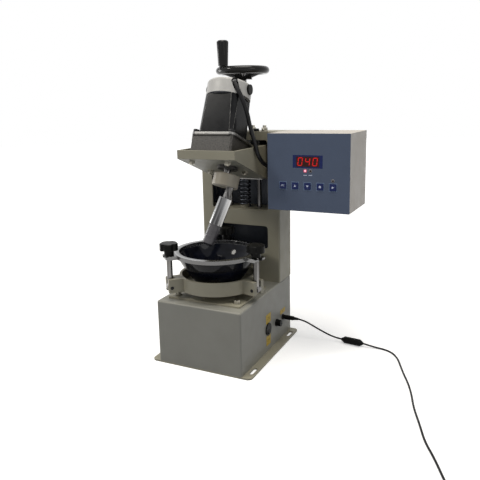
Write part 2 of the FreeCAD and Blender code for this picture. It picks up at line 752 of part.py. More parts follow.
def make_column():
    """Folded column with its two windows, rear cover, top plate, shelf and guide rods."""
    body = new_body("column_body")
    wall = new_sketch(body, "XY", "column_outline")
    outer, inner = "base_width / 2", "column_inner_width / 2"
    outline(wall, (
        (f"0 - {outer}", "column_front"), (outer, "column_front"), (outer, "base_depth / 2"),
        (inner, "base_depth / 2"), (inner, "cavity_front"), (f"0 - {inner}", "cavity_front"),
        (f"0 - {inner}", "base_depth / 2"), (f"0 - {outer}", "base_depth / 2")))
    pad(body, wall, "column_top - base_top")
    smooth(body, "fold_radius - running_gap", lambda edge: abs(edge.BoundBox.YMax
           - number("column_front")) < number("running_gap") and edge.BoundBox.ZLength
           > number("overrun"))
    windows = new_sketch(body, "XZ", "column_windows")
    rounded(windows, ("0", "window_sill + window_height / 2 - base_top"),
            ("window_width", "window_height"), "window_corner")
    rounded(windows, ("0", "low_window_sill + low_window_height / 2 - base_top"),
            ("low_window_width", "low_window_height"), "window_corner")
    pocket(body, windows, both_ways=True)
    move(body, z="base_top")
    node("column_shell", body)

    cover = upright("rear_cover", ("0", "(column_top + base_top) / 2"),
                    ("column_inner_width - 2 * slide_gap", "column_top - base_top"),
                    "fold_radius", "cavity_rear", "sheet")
    node("column_back_cover", cover)

    def bridge(name, low):
        return block(name, ("0", "(cavity_front + cavity_rear) / 2", low),
                     ("column_inner_width", "cavity_rear - cavity_front", "bridge_thickness"))

    def rod_holes(low, height):
        return [cylinder("rod_hole", (x, "guide_y", low), "rod_radius + running_gap", height)
                for x in ("0 - rod_spacing / 2", "rod_spacing / 2")]

    through = "bridge_thickness + 2 * overrun"
    screw_hole = cylinder("screw_hole", ("0", "guide_y", "top_plate_low - overrun"),
                          "screw_radius + running_gap", through)
    node("column_top_plate", cut("top_plate_cut", bridge("top_plate_blank", "top_plate_low"),
                                 rod_holes("top_plate_low - overrun", through) + [screw_hole]))
    seat = cylinder("spring_spigot", ("0", "guide_y", "shelf_top"), "spring_seat_radius",
                    "spring_seat_height")
    shelf = fuse("shelf_blank", [bridge("shelf_plate", "shelf_top - bridge_thickness"), seat])
    node("spring_shelf", cut("shelf_cut", shelf,
                             rod_holes("shelf_top - bridge_thickness - overrun", through)))
    rod_low = "shelf_top - bridge_thickness - rod_overhang"
    rods = [cylinder("guide_rod", (x, "guide_y", rod_low), "rod_radius",
                     f"column_top - ({rod_low})")
            for x in ("0 - rod_spacing / 2", "rod_spacing / 2")]
    node("guide_rods", group("guide_rod_pair", rods))


def make_carriage():
    """Carriage block on the guide rods, and the folded motor tray bolted to it."""
    blank = block("block_blank", ("0", "block_front + block_depth / 2", "block_bottom"),
                  ("block_width", "block_depth", "block_height"))
    spigot = cylinder("block_spigot", ("0", "guide_y", "block_bottom - spring_seat_height"),
                      "spring_seat_radius", "spring_seat_height + overrun")
    bores = [cylinder("block_bore", (x, "guide_y", "block_bottom - overrun"),
                      "rod_radius + running_gap", "block_height + 2 * overrun")
             for x in ("0 - rod_spacing / 2", "rod_spacing / 2")]
    bores.append(cylinder("screw_socket_bore", ("0", "guide_y", "block_top - screw_socket"),
                          "screw_radius + running_gap", "screw_socket + overrun"))
    node("carriage_block", cut("carriage_block_cut", fuse("block_body", [blank, spigot]), bores))

    body = new_body("tray_body")
    side = new_sketch(body, "YZ", "tray_side")
    outline(side, (
        ("tray_front", "lip_bottom"), ("block_front", "floor_rear"),
        ("block_front", "lip_top"), ("tray_front", "lip_top")))
    pad(body, side, "tray_width", both_ways=True)
    hollow = new_sketch(body, "YZ", "tray_hollow")
    inner_front, inner_rear = "tray_front + column_sheet", "block_front - column_sheet"
    outline(hollow, (
        (inner_front, "lip_bottom + tray_bend - column_sheet * tray_fall"),
        (inner_rear, "floor_rear + tray_bend + column_sheet * tray_fall"),
        (inner_rear, "lip_top + overrun"), (inner_front, "lip_top + overrun")))
    pocket(body, hollow, "tray_width - 2 * column_sheet", both_ways=True)
    frame = drive_frame()
    holes = [cylinder("tray_boss_hole", ("shaft_offset", "0", "0 - overrun"),
                      "boss_radius + slide_gap", "column_sheet + 2 * overrun")]
    holes += [cylinder("tray_bolt_hole", (x, y, "0 - overrun"), "bolt_radius + slide_gap",
                       "column_sheet + 2 * overrun") for x, y in gearbox_bolt_places()]
    tools = fuse("tray_holes", holes)
    tools.Placement = frame
    node("motor_tray", cut("motor_tray_cut", body, [tools]))


def gearbox_bolt_places():
    for x in ("0 - ", "0 + "):
        for y in ("0 - ", "0 + "):
            yield f"{x}bolt_spacing / 2", f"{y}bolt_spacing / 2"


def make_drive():
    """Gearbox, flange, motor and end cap, stacked square to the tray's floor."""
    frame = drive_frame()
    housing = plate("gearbox_blank", ("0", "0"), ("gearbox_size", "gearbox_size"),
                    "gearbox_corner", "column_sheet", "gearbox_height")
    boss = cylinder("gearbox_boss", ("shaft_offset", "0", "0 - boss_drop"), "boss_radius",
                    "boss_drop + column_sheet + overrun")
    bore = cylinder("output_bore", ("shaft_offset", "0", "0 - boss_drop - overrun"),
                    "shaft_radius + running_gap", "boss_drop + column_sheet + 4 * overrun")
    bolt_ways = [cylinder("gearbox_bolt_way", (x, y, "0"), "bolt_radius + running_gap",
                          "flange_low + overrun") for x, y in gearbox_bolt_places()]
    body = fuse("gearbox_body", [housing, boss])
    node("drive_gearbox", cut("drive_gearbox_cut", body, [bore] + bolt_ways), frame)

    flange = plate("flange_blank", ("0", "0"), ("flange_size", "flange_size"),
                   "flange_corner", "flange_low", "flange_height")
    ways = [cylinder("flange_bolt_way", (x, y, "flange_low - overrun"),
                     "bolt_radius + running_gap", "flange_height + 2 * overrun")
            for x, y in gearbox_bolt_places()]
    node("gearbox_flange", cut("gearbox_flange_cut", flange, ways), frame)

    bolts = []
    for x, y in gearbox_bolt_places():
        shank = cylinder("gearbox_shank", (x, y, "0 - bolt_nut - bolt_radius / 2"),
                         "bolt_radius", "motor_low + bolt_nut + bolt_radius / 2")
        head = cylinder("gearbox_bolt_head", (x, y, "motor_low"), "bolt_flats / 2", "bolt_nut")
        nut = hexagon("gearbox_nut", (x, y, "0 - bolt_nut"), "bolt_flats", "bolt_nut")
        bolts.append(fuse("gearbox_bolt", [shank, head, nut]))
    node("gearbox_bolts", group("gearbox_bolt_set", bolts), frame)

    round_body = cone("motor_round", ("0", "0", "motor_low"),
                      ("motor_foot_radius", "motor_radius"), "motor_length")
    square = block("motor_square", ("0", "0", "motor_low"),
                   ("motor_flats", "motor_flats", "motor_length"))
    node("motor_body", common("motor_body_common", round_body, square), frame)

    cap = turned("cap_blank", (
        ("0", "cap_low"), ("motor_radius", "cap_low"), ("motor_radius", "cap_top"),
        ("0", "cap_top")))
    smooth(cap, "cap_round", at_height("cap_top"))
    brush_z = "cap_top - brush_drop"
    brush_bore = cylinder("brush_bore", ("0 - motor_radius - overrun", "0", brush_z),
                          "brush_radius + slide_gap", "2 * motor_radius + 2 * overrun", "x")
    core = cylinder("brush_core", ("0 - motor_radius + overrun", "0", brush_z),
                    "brush_radius + overrun", "2 * motor_radius - 2 * overrun", "x")
    brush_tools = cut("brush_recess", brush_bore, [core])
    lead_hole = made("lead_hole", Part.makeCylinder(
        number("cable_hole_radius"), number("2 * cable_hole_depth")))
    lead_hole.Placement = cable_hole()
    node("motor_cap", cut("motor_cap_cut", cap, [brush_tools, lead_hole]), frame)
    depth = "overrun + brush_proud - slide_gap"
    left = cylinder("brush_left", ("0 - motor_radius - brush_proud", "0", brush_z),
                    "brush_radius", depth, "x")
    right = cylinder("brush_right", ("motor_radius - overrun + slide_gap", "0", brush_z),
                     "brush_radius", depth, "x")
    node("brush_caps", group("brush_cap_pair", [left, right]), frame)


def make_hub():
    """Output shaft and the drive hub that carries the slanted pestle."""
    frame = hub_frame()
    shaft_low, shaft_top = "hub_low + hub_height / 2 + seat_gap", "column_sheet + 2 * overrun"
    shaft = turned("output_shaft_bar", (
        ("0", shaft_low), ("shaft_radius", shaft_low), ("shaft_radius", shaft_top),
        ("0", shaft_top)))
    node("output_shaft", shaft, frame)
    blank = turned("hub_blank", (
        ("0", "hub_low"), ("hub_radius - hub_edge", "hub_low"),
        ("hub_radius", "hub_low + hub_edge"), ("hub_radius", "hub_top - hub_edge"),
        ("hub_radius - hub_edge", "hub_top"), ("0", "hub_top")))
    middle = point("0", "0", "hub_low + hub_height / 2")
    lean = Rotation(Vector(0, 1, 0), number("pestle_tilt * hub_lean_share"))
    blank.Placement = Placement(middle, lean) * Placement(middle * -1, Rotation())
    shaft_bore = cylinder("hub_shaft_bore", ("0", "0", "hub_low + hub_height / 2"),
                          "shaft_radius + running_gap", "hub_height / 2 + overrun")
    pestle_bore = made("hub_pestle_bore", Part.makeCylinder(
        number("pestle_shaft_radius + running_gap"), number("pestle_socket + overrun"),
        Vector(0, 0, -number("overrun"))))
    pestle_bore.Placement = frame.inverse() * pestle_frame()
    node("drive_hub", cut("drive_hub_cut", blank, [shaft_bore, pestle_bore]), frame)


def make_pestle():
    """Shaft, polished sleeve and agate pestle, on the slanted axis."""
    frame = pestle_frame()
    sleeve_top = "0 - pestle_neck"
    sleeve_low = "0 - pestle_neck - sleeve_length"
    bar_low, bar_top = f"{sleeve_top} - sleeve_cap", "pestle_socket - seat_gap"
    shaft = turned("pestle_bar", (
        ("0", bar_low), ("pestle_shaft_radius", bar_low), ("pestle_shaft_radius", bar_top),
        ("0", bar_top)))
    node("pestle_shaft", shaft, frame)
    tube = turned("sleeve_blank", (
        ("pestle_shaft_radius + running_gap", sleeve_top),
        ("pestle_shaft_radius + running_gap", f"{sleeve_top} - sleeve_cap"),
        ("pestle_radius + running_gap", f"{sleeve_top} - sleeve_cap"),
        ("pestle_radius + running_gap", sleeve_low),
        ("sleeve_radius", sleeve_low), ("sleeve_radius", sleeve_top)))
    node("pestle_sleeve", tube, frame)
    tip = f"{sleeve_low} - pestle_reach"
    stone = cylinder("pestle_stone", ("0", "0", tip), "pestle_radius",
                     f"{sleeve_top} - sleeve_cap - seat_gap - ({tip})")
    dome = ball("pestle_dome_ball", ("0", "0", f"{tip} + pestle_dome"), "pestle_dome")
    upper = cylinder("pestle_upper", ("0", "0", f"{tip} + pestle_dome"),
                     "pestle_radius + overrun", "sleeve_length + pestle_reach")
    node("agate_pestle", common("agate_pestle_common", stone, fuse("dome_shape", [dome, upper])),
         frame)


def make_turntable_base():
    """Seat plate with its bolts, the bearing housing and the gearmotor inside the base."""
    seat = plate("seat_plate_blank", ("0", "mortar_place"), ("seat_plate_width",
                 "seat_plate_depth"), "fold_radius", "base_top", "seat_plate_thickness")
    way = cylinder("seat_opening", ("0", "mortar_place", "base_top - overrun"),
                   "spindle_radius + overrun", "seat_plate_thickness + 2 * overrun")
    node("mortar_seat_plate", cut("seat_plate_cut", seat, [way] + seat_bolt_holes(
        "base_top - overrun", "seat_plate_thickness + 2 * overrun")))
    bolts = []
    for x, y in seat_bolt_places():
        washer = cylinder("seat_washer", (x, y, "seat_top"), "washer_radius", "washer_height")
        head = hexagon("seat_bolt_head", (x, y, "seat_top"), "bolt_flats",
                       "washer_height + bolt_nut")
        shank = cylinder("seat_bolt_shank", (x, y, "base_top - sheet - overrun"),
                         "bolt_radius", "seat_plate_thickness + sheet + overrun")
        bolts.append(fuse("seat_bolt", [washer, head, shank]))
    node("seat_plate_bolts", group("seat_bolt_set", bolts))
    housing = turned("bearing_blank", (
        ("spindle_radius + running_gap", "seat_top"), ("bearing_radius", "seat_top"),
        ("bearing_radius", "seat_top + bearing_height - hub_edge"),
        ("bearing_radius - hub_edge", "seat_top + bearing_height"),
        ("spindle_radius + running_gap", "seat_top + bearing_height")))
    move(housing, y="mortar_place")
    node("spindle_bearing", housing)
    gear = block("table_gear", ("0", "mortar_place", "base_top - sheet - gearbox_height"),
                 ("gearbox_size", "gearbox_size", "gearbox_height"))
    can = cylinder("table_motor", ("0", "mortar_place", "plate_thickness + overrun"),
                   "bearing_radius",
                   "base_top - sheet - gearbox_height - plate_thickness")
    socket = cylinder("table_socket", ("0", "mortar_place", "base_top - sheet - screw_socket"),
                      "spindle_radius + running_gap", "screw_socket + overrun")
    bolt_ways = seat_bolt_holes("base_top - sheet - 2 * overrun", "4 * overrun")
    node("mortar_gearmotor", cut("gearmotor_cut", fuse("gearmotor_body", [gear, can]),
                                 [socket] + bolt_ways))


def make_turntable():
    """Spindle, cup with clevis lugs, agate mortar and clamp ring."""
    collar_low = "seat_top + bearing_height + seat_gap"
    spindle_low = "base_top - sheet - screw_socket + seat_gap"
    spindle = turned("spindle_blank", (
        ("0", spindle_low), ("spindle_radius", spindle_low), ("spindle_radius", collar_low),
        ("collar_radius", collar_low), ("collar_radius", "cup_bottom"),
        ("spindle_radius", "cup_bottom"), ("spindle_radius", "foot_low - seat_gap"),
        ("0", "foot_low - seat_gap")))
    move(spindle, y="mortar_place")
    node("turntable_spindle", spindle)

    cup = turned("cup_blank", (
        ("spindle_radius + running_gap", "cup_bottom"), ("cup_radius", "cup_bottom"),
        ("cup_radius", "cup_top"), ("cup_radius - cup_wall", "cup_top"),
        ("cup_radius - cup_wall", "foot_low"), ("spindle_radius + running_gap", "foot_low")))
    move(cup, y="mortar_place")
    lugs, slots = [], []
    inner = "cup_radius - cup_wall / 2"
    for index in range(3):
        frame = about_mortar(index)
        lug = made("lug_block", Part.makeBox(
            number(f"lug_end - ({inner})"), number("lug_width"), number("cup_height"),
            point(inner, "0 - lug_width / 2", "cup_bottom")))
        lug.Placement = frame
        lugs.append(lug)
        gap = Part.makeBox(number("lug_end"), number("eye_width + 2 * slide_gap"),
                           number("cup_height + 2 * overrun"),
                           point("clamp_radius - eye_radius - slide_gap",
                                 "0 - eye_width / 2 - slide_gap", "cup_bottom - overrun"))
        hole = Part.makeCylinder(number("pin_radius + running_gap"),
                                 number("lug_width + 2 * overrun"),
                                 point("clamp_radius", "0 - lug_width / 2 - overrun",
                                       "pivot_height"), Vector(0, 1, 0))
        tool = made("lug_slot", gap.fuse(hole))
        tool.Placement = frame
        slots.append(tool)
    node("mortar_cup", cut("mortar_cup_cut", fuse("cup_with_lugs", [cup] + lugs), slots))
    pins = []
    for index in range(3):
        bar = made("clamp_pin", Part.makeCylinder(
            number("pin_radius"), number("lug_width + 2 * slide_gap"),
            point("clamp_radius", "0 - lug_width / 2 - slide_gap", "pivot_height"),
            Vector(0, 1, 0)))
        bar.Placement = about_mortar(index)
        pins.append(bar)
    node("clamp_pins", group("clamp_pin_set", pins))

    stone = turned("mortar_blank", (
        ("0", "foot_low"), ("mortar_foot", "foot_low"),
        ("mortar_foot + (mortar_rim - mortar_foot) * bowl_waist_share", "(foot_low + rim_top) / 2 - mortar_lip"),
        ("mortar_rim - mortar_lip", "rim_top - 2 * mortar_lip"),
        ("mortar_rim", "rim_top - mortar_lip"), ("mortar_rim", "rim_top"), ("0", "rim_top")))
    move(stone, y="mortar_place")
    bowl = ball("bowl_ball", ("0", "mortar_place", "bowl_centre"), "bowl_radius")
    node("agate_mortar", cut("agate_mortar_cut", stone, [bowl]))

    blank = turned("ring_blank", (
        ("ring_bore", "rim_top"), ("ear_end - overrun / 2", "rim_top"),
        ("ear_end", "rim_top + ring_height / 3"), ("ear_end", "ring_top - hub_edge"),
        ("clamp_radius + overrun", "ring_top"), ("ring_bore", "ring_top")))
    move(blank, y="mortar_place")
    ring_disc = cylinder("ring_disc", ("0", "mortar_place", "rim_top - overrun"),
                         "ring_radius", "ring_height + 2 * overrun")
    keeps, slots = [ring_disc], []
    for index in range(3):
        frame = about_mortar(index)
        ear = made("ear_keep", Part.makeBox(
            number("ear_end + overrun"), number("ear_width"),
            number("ring_height + 2 * overrun"),
            point("0", "0 - ear_width / 2", "rim_top - overrun")))
        ear.Placement = frame
        keeps.append(ear)
        open_end = Part.makeBox(number("ear_end"), number("2 * rod_slot"),
                                number("ring_height + 2 * overrun"),
                                point("clamp_radius", "0 - rod_slot", "rim_top - overrun"))
        round_end = Part.makeCylinder(number("rod_slot"), number("ring_height + 2 * overrun"),
                                      point("clamp_radius", "0", "rim_top - overrun"))
        tool = made("ear_slot", open_end.fuse(round_end))
        tool.Placement = frame
        slots.append(tool)
    shaped = common("ring_shaped", blank, fuse("ring_keeps", keeps))
    node("clamp_ring", cut("clamp_ring_cut", shaped, slots))


def make_clamps():
    """Three swing rods with star knobs."""
    for index in range(3):
        frame = about_mortar(index)
        name = f"_{index + 1}"
        eye = cylinder("rod_eye" + name, ("0", "0 - eye_width / 2", "pivot_height"),
                       "eye_radius", "eye_width", "y")
        stem = cylinder("rod_stem" + name, ("0", "0", "pivot_height"), "clamp_rod",
                        "star_low + knob_height / 2 - seat_gap - pivot_height")
        hole = cylinder("rod_eye_hole" + name, ("0", "0 - eye_width", "pivot_height"),
                        "pin_radius + running_gap", "2 * eye_width", "y")
        rod = cut("swing_rod_cut" + name, fuse("rod_blank" + name, [eye, stem]), [hole])
        rod_place = frame * Placement(point("clamp_radius", "0", "0"), Rotation())
        node("clamp_rod" + name, rod, rod_place)

        body = turned("knob_blank" + name, (
            ("0", "knob_low"), ("knob_hub_radius", "knob_low"), ("knob_hub_radius", "star_low"),
            ("knob_radius", "star_low"), ("knob_radius", "knob_top - hub_edge"),
            ("knob_radius - hub_edge", "knob_top"), ("0", "knob_top")))
        hollows = []
        for lobe in range(5):
            turn = math.radians(72 * lobe + 36)
            distance = number("knob_radius + knob_notch / 2")
            hollows.append(made("knob_hollow", Part.makeCylinder(
                number("knob_notch"), number("knob_height + 2 * overrun"),
                Vector(distance * math.cos(turn), distance * math.sin(turn),
                       number("star_low - overrun")))))
        bore = cylinder("knob_bore" + name, ("0", "0", "knob_low - overrun"),
                        "clamp_rod + running_gap",
                        "overrun + knob_hub_height + knob_height / 2")
        knob = cut("star_knob_cut" + name, body, hollows + [bore])
        node("star_knob" + name, knob, rod_place)


def make_lift():
    """Lead screw, dished handwheel and its revolving grip."""
    screw_low = "block_top - screw_socket + seat_gap"
    screw_top = "wheel_hub_low + wheel_hub_height / 2"
    screw = turned("screw_blank", (
        ("0", screw_low), ("screw_radius", screw_low), ("screw_radius", "block_top + seat_gap"),
        ("thrust_radius", "block_top + seat_gap"),
        ("thrust_radius", "block_top + seat_gap + thrust_height"),
        ("screw_radius", "block_top + seat_gap + thrust_height"), ("screw_radius", screw_top),
        ("0", screw_top)))
    move(screw, y="guide_y")
    node("lead_screw", screw)

    rim = doc.addObject("Part::Torus", "wheel_rim_ring")
    bind(rim, Radius1="rim_circle", Radius2="wheel_rim")
    move(rim, "0", "guide_y", "rim_height")
    hub = cone("wheel_hub", ("0", "guide_y", "wheel_hub_low - wheel_hub_height / 2"),
               ("wheel_hub_radius", "wheel_hub_radius * hub_taper_share"),
               "wheel_hub_height * (hub_rise_share + 1 / 2)")
    spokes = []
    for index in range(3):
        turn = math.radians(number("grip_angle") + 60 + 120 * index)
        outward = Vector(math.cos(turn), math.sin(turn), 0)
        middle = point("0", "guide_y", "wheel_hub_low")
        start = middle + outward * number("wheel_hub_radius / 2")
        end = point("0", "guide_y", "rim_height") + outward * number("rim_circle")
        spokes.append(made("spoke", Part.makeCone(
            number("spoke_radius"), number("spoke_radius * spoke_taper_share"), (end - start).Length,
            start, end - start)))
    grip_turn = math.radians(number("grip_angle"))
    grip_x = number("rim_circle") * math.cos(grip_turn)
    grip_y = number("guide_y") + number("rim_circle") * math.sin(grip_turn)
    pin_low = Vector(grip_x, grip_y, number("rim_height"))
    pin = made("grip_pin", Part.makeCylinder(
        number("grip_pin_radius"), number("grip_low + grip_length * grip_hold_share - rim_height"), pin_low))
    collar = made("grip_collar_ring", Part.makeCylinder(
        number("grip_foot_radius * spoke_taper_share"), number("grip_low - seat_gap - rim_height"), pin_low))
    bore = cylinder("wheel_bore", ("0", "guide_y", "wheel_hub_low - wheel_hub_height"),
                    "screw_radius + running_gap", "wheel_hub_height * 3 / 2 + running_gap")
    wheel = fuse("wheel_body", [rim, hub, pin, collar] + spokes)
    node("handwheel", cut("handwheel_cut", wheel, [bore]))

    grip = turned("grip_blank", (
        ("grip_pin_radius + running_gap", "0"), ("grip_foot_radius", "0"),
        ("grip_top_radius", "grip_length - hub_edge * 4"), ("grip_top_radius",
                                                           "grip_length - hub_edge * 2"),
        ("grip_top_radius - hub_edge * 2", "grip_length"), ("0", "grip_length"),
        ("0", "grip_length * grip_hold_share + seat_gap"),
        ("grip_pin_radius + running_gap", "grip_length * grip_hold_share + seat_gap")))
    smooth(grip, "hub_edge", at_height("grip_length"))
    flutes = []
    for index in range(int(number("grip_flutes"))):
        turn = 2 * math.pi * index / number("grip_flutes")
        distance = number("grip_top_radius + flute_radius - flute_depth")
        flutes.append(made("grip_flute", Part.makeCylinder(
            number("flute_radius"), number("grip_length + 2 * overrun"),
            Vector(distance * math.cos(turn), distance * math.sin(turn),
                   -number("overrun")))))
    node("handle_grip", cut("handle_grip_cut", grip, flutes),
         Placement(Vector(grip_x, grip_y, number("grip_low")), Rotation()))


def key_places():
    for index in range(5):
        yield index + 1, f"box_middle + {index - 2} * key_pitch"


def make_control_box():
    """Box on the column's right side: shell, panel, display, keys and board."""
    outer = box("box_outer", ("side_face", "panel_rear", "box_bottom"),
                ("box_width", "box_depth - panel_thickness", "box_height"))
    inner = box("box_inner", ("side_face + sheet", "panel_rear - overrun", "box_bottom + sheet"),
                ("box_width - 2 * sheet", "box_depth - panel_thickness - sheet + overrun",
                 "box_height - 2 * sheet"))
    gland = cylinder("gland_hole", ("side_face - overrun", "gland_place", "gland_height"),
                     "gland_radius", "sheet + 2 * overrun", "x")
    node("control_box_shell", cut("box_shell_cut", outer, [inner, gland]))

    face = box("panel_blank", ("side_face", "box_front", "box_bottom"),
               ("box_width", "panel_thickness", "box_height"))
    deep = "panel_thickness + 2 * overrun"
    holes = [box("display_hole", ("box_middle - display_width / 2", "box_front - overrun",
                                  "display_z - display_height / 2"),
                 ("display_width", deep, "display_height"))]
    key_hole = "key_size + 2 * slide_gap"
    for index, x in key_places():
        holes.append(box(f"key_hole_{index}", (f"{x} - ({key_hole}) / 2", "box_front - overrun",
                                               f"key_z - ({key_hole}) / 2"),
                         (key_hole, deep, key_hole)))
    node("control_panel", cut("control_panel_cut", face, holes))
    glass = box("display_glass", (
        "box_middle - display_width / 2 + running_gap", "box_front + running_gap",
        "display_z - display_height / 2 + running_gap"),
        ("display_width - 2 * running_gap", "panel_thickness", "display_height - 2 * running_gap"))
    node("display_window", glass)
    for index, x in key_places():
        cap = box(f"key_cap_{index}", (f"{x} - key_size / 2", "box_front - key_proud",
                                       "key_z - key_size / 2"),
                  ("key_size", "key_depth", "key_size"))
        node(f"key_{index}", cap)

    board_width, board_height = "box_width - 8 * sheet", "box_height - 8 * sheet"
    board = box("board_sheet", (f"box_middle - ({board_width}) / 2", "board_front",
                                "box_bottom + 4 * sheet"),
                (board_width, "board_thickness", board_height))
    switches = [box(f"key_switch_{index}", (
        f"{x} - key_size / 4", "box_front - key_proud + key_depth + key_travel + slide_gap",
        "key_z - key_size / 4"), ("key_size / 2", "board_front + board_thickness / 2 - (box_front"
                                  " - key_proud + key_depth + key_travel + slide_gap)",
                                  "key_size / 2")) for index, x in key_places()]
    module = box("display_module", ("box_middle - display_width / 2 + sheet",
                                    "panel_rear + 2 * slide_gap",
                                    "display_z - display_height / 2 + sheet / 2"),
                 ("display_width - 2 * sheet", "board_front + board_thickness / 2 - panel_rear"
                  " - 2 * slide_gap", "display_height - sheet"))
    posts = [cylinder("board_post_bar", (x, "panel_rear", z), "board_post",
                      "board_setback + board_thickness / 2", "y")
             for x in ("side_face + 8 * sheet", "box_right - 8 * sheet")
             for z in ("box_bottom + 8 * sheet", "column_top - 8 * sheet")]
    node("control_board", fuse("control_board_body", [board, module] + switches + posts))


def make_side_fittings():
    """Rocker switch, fuse holder and supply socket in the base's right wall."""
    bezel = cylinder("switch_bezel_disc", ("side_face", "switch_place", "switch_height"),
                     "switch_bezel", "bezel_height", "x")
    barrel = cylinder("switch_barrel", ("side_face - switch_depth", "switch_place",
                      "switch_height"), "switch_radius - running_gap",
                      "switch_depth + running_gap", "x")
    well_depth = "rocker_depth + rocker_radius / 2"
    well = box("switch_well", (f"side_face - ({well_depth})",
                               "switch_place - rocker_width / 2 - slide_gap",
                               "switch_height - rocker_radius - slide_gap"),
               (f"{well_depth} + bezel_height + overrun", "rocker_width + 2 * slide_gap",
                "2 * (rocker_radius + slide_gap)"))
    node("switch_body", cut("switch_body_cut", fuse("switch_blank", [bezel, barrel]), [well]))

    holder = fuse("fuse_blank", [
        cylinder("fuse_bezel", ("side_face", "fuse_place", "inlet_height"),
                 "fuse_radius + bezel_height / 2", "bezel_height", "x"),
        cylinder("fuse_barrel", ("side_face - fuse_depth", "fuse_place", "inlet_height"),
                 "fuse_radius - running_gap", "fuse_depth + running_gap", "x")])
    socket = cylinder("fuse_socket", ("side_face - fuse_depth / 2", "fuse_place", "inlet_height"),
                      "fuse_cap_radius + running_gap", "fuse_depth", "x")
    node("fuse_holder", cut("fuse_holder_cut", holder, [socket]))
    cap = cylinder("fuse_cap_body", ("side_face - fuse_depth / 2 + seat_gap", "fuse_place",
                   "inlet_height"), "fuse_cap_radius",
                   "fuse_depth / 2 - seat_gap + bezel_height + fuse_cap_proud", "x")
    head = cylinder("fuse_cap_head", ("side_face + bezel_height + seat_gap", "fuse_place",
                    "inlet_height"), "fuse_head_radius", "fuse_cap_proud - seat_gap", "x")
    notch = box("fuse_slot", ("side_face + bezel_height + fuse_cap_proud - hub_edge",
                              "fuse_place - fuse_head_radius", "inlet_height - hub_edge / 2"),
                ("overrun", "2 * fuse_head_radius", "hub_edge"))
    node("fuse_cap", cut("fuse_cap_cut", fuse("fuse_cap_solid", [cap, head]), [notch]))

    jack = fuse("jack_blank", [
        cylinder("jack_nut", ("side_face", "jack_place", "inlet_height"), "jack_radius",
                 "bezel_height", "x"),
        cylinder("jack_body", ("side_face - jack_depth", "jack_place", "inlet_height"),
                 "jack_barrel - running_gap", "jack_depth + running_gap", "x")])
    jack_bore = cylinder("jack_bore", ("side_face - jack_depth / 2", "jack_place",
                         "inlet_height"), "plug_radius / 2 + running_gap",
                         "jack_depth / 2 + bezel_height + overrun", "x")
    node("supply_socket", cut("supply_socket_cut", jack, [jack_bore]))


def make_rocker():
    """Rocker: a shallow V face and round ends about its level pin, tilted to one side."""
    body = new_body("rocker_wedge")
    side = new_sketch(body, "XZ", "rocker_side")
    outline(side, (
        ("rocker_proud", "rocker_radius"), ("rocker_proud - rocker_sag", "0"),
        ("rocker_proud", "0 - rocker_radius"), ("0 - rocker_depth", "0 - rocker_radius"),
        ("0 - rocker_depth", "rocker_radius")))
    pad(body, side, "rocker_width", both_ways=True)
    ends = cylinder("rocker_ends", ("0", "0 - rocker_width", "0"), "rocker_radius",
                    "2 * rocker_width", "y")
    tilt = Rotation(Vector(0, 1, 0), -number("rocker_tilt"))
    spot = Placement(point("side_face", "switch_place", "switch_height"), tilt)
    node("rocker", common("rocker_common", body, ends), spot)


def unit(vector):
    return Vector(vector).normalize()


def rounded_path(points, label):
    """Straight runs joined by tangent arcs, each arc as large as its two runs allow."""
    spots = [Vector(*p) for p in points]
    edges, radii = [], []
    start = spots[0]
    for i in range(1, len(spots) - 1):
        before, here, after = spots[i - 1], spots[i], spots[i + 1]
        back, ahead = unit(before - here), unit(after - here)
        half_turn = (math.pi - back.getAngle(ahead)) / 2
        shorter = min((here - before).Length, (after - here).Length)
        radius = ARC_SHARE * shorter / math.tan(half_turn)
        radii.append(radius)
        trim = radius * math.tan(half_turn)
        first, last = here + back * trim, here + ahead * trim
        bisector = unit(back + ahead)
        middle = here + bisector * (radius / math.cos(half_turn) - radius)
        edges.append(Part.LineSegment(start, first).toShape())
        edges.append(Part.Arc(first, middle, last).toShape())
        start = last
    edges.append(Part.LineSegment(start, spots[-1]).toShape())
    print(label, "radii mm", [round(r, 1) for r in radii])
    return Part.Wire(edges)


def tube(path, radius, label):
    """A round tube along a path, its volume compared with section times length."""
    first = path.Edges[0]
    start = first.valueAt(first.FirstParameter)
    along = first.tangentAt(first.FirstParameter)
    circle = Part.Wire([Part.Circle(start, along, radius).toShape()])
    solid = path.makePipeShell([circle], True, False)
    ideal = math.pi * radius * radius * path.Length
    print(label, "length mm", round(path.Length, 1), "volume share",
          round(solid.Volume / ideal, 4))
    return solid


def biarc(start, start_way, end, end_way):
    """Two tangent arcs from one directed point to another."""
    gap = end - start
    both = start_way + end_way
    blend = gap.dot(both)
    closeness = 2 * (1 - start_way.dot(end_way))
    if abs(closeness) < 1e-9:
        reach = gap.dot(gap) / (4 * gap.dot(end_way))
    else:
        reach = (math.sqrt(blend * blend + closeness * gap.dot(gap)) - blend) / closeness
    joint = (start + end + (start_way - end_way) * reach) / 2
    return arc_from(start, start_way, joint), arc_from(end, end_way * -1, joint).reversed()


def arc_from(start, way, end):
    """The arc that leaves a point in a direction and ends at another point."""
    chord = end - start
    side = chord - way * chord.dot(way)
    if side.Length < 1e-6:
        return Part.LineSegment(start, end).toShape()
    side.normalize()
    radius = chord.dot(chord) / (2 * chord.dot(side))
    centre = start + side * radius
    middle = centre + unit((start + end) / 2 - centre) * radius
    return Part.Arc(start, middle, end).toShape()


def winding(place, heading, steps):
    """Arcs through a formula's points and headings, from the first step to the last."""
    edges = []
    for here, there in zip(steps, steps[1:]):
        first, second = biarc(place(here), heading(here), place(there), heading(there))
        edges += [first, second]
    return edges


def heading_of(place):
    def heading(t):
        return unit(place(t + TINY) - place(t - TINY))
    return heading


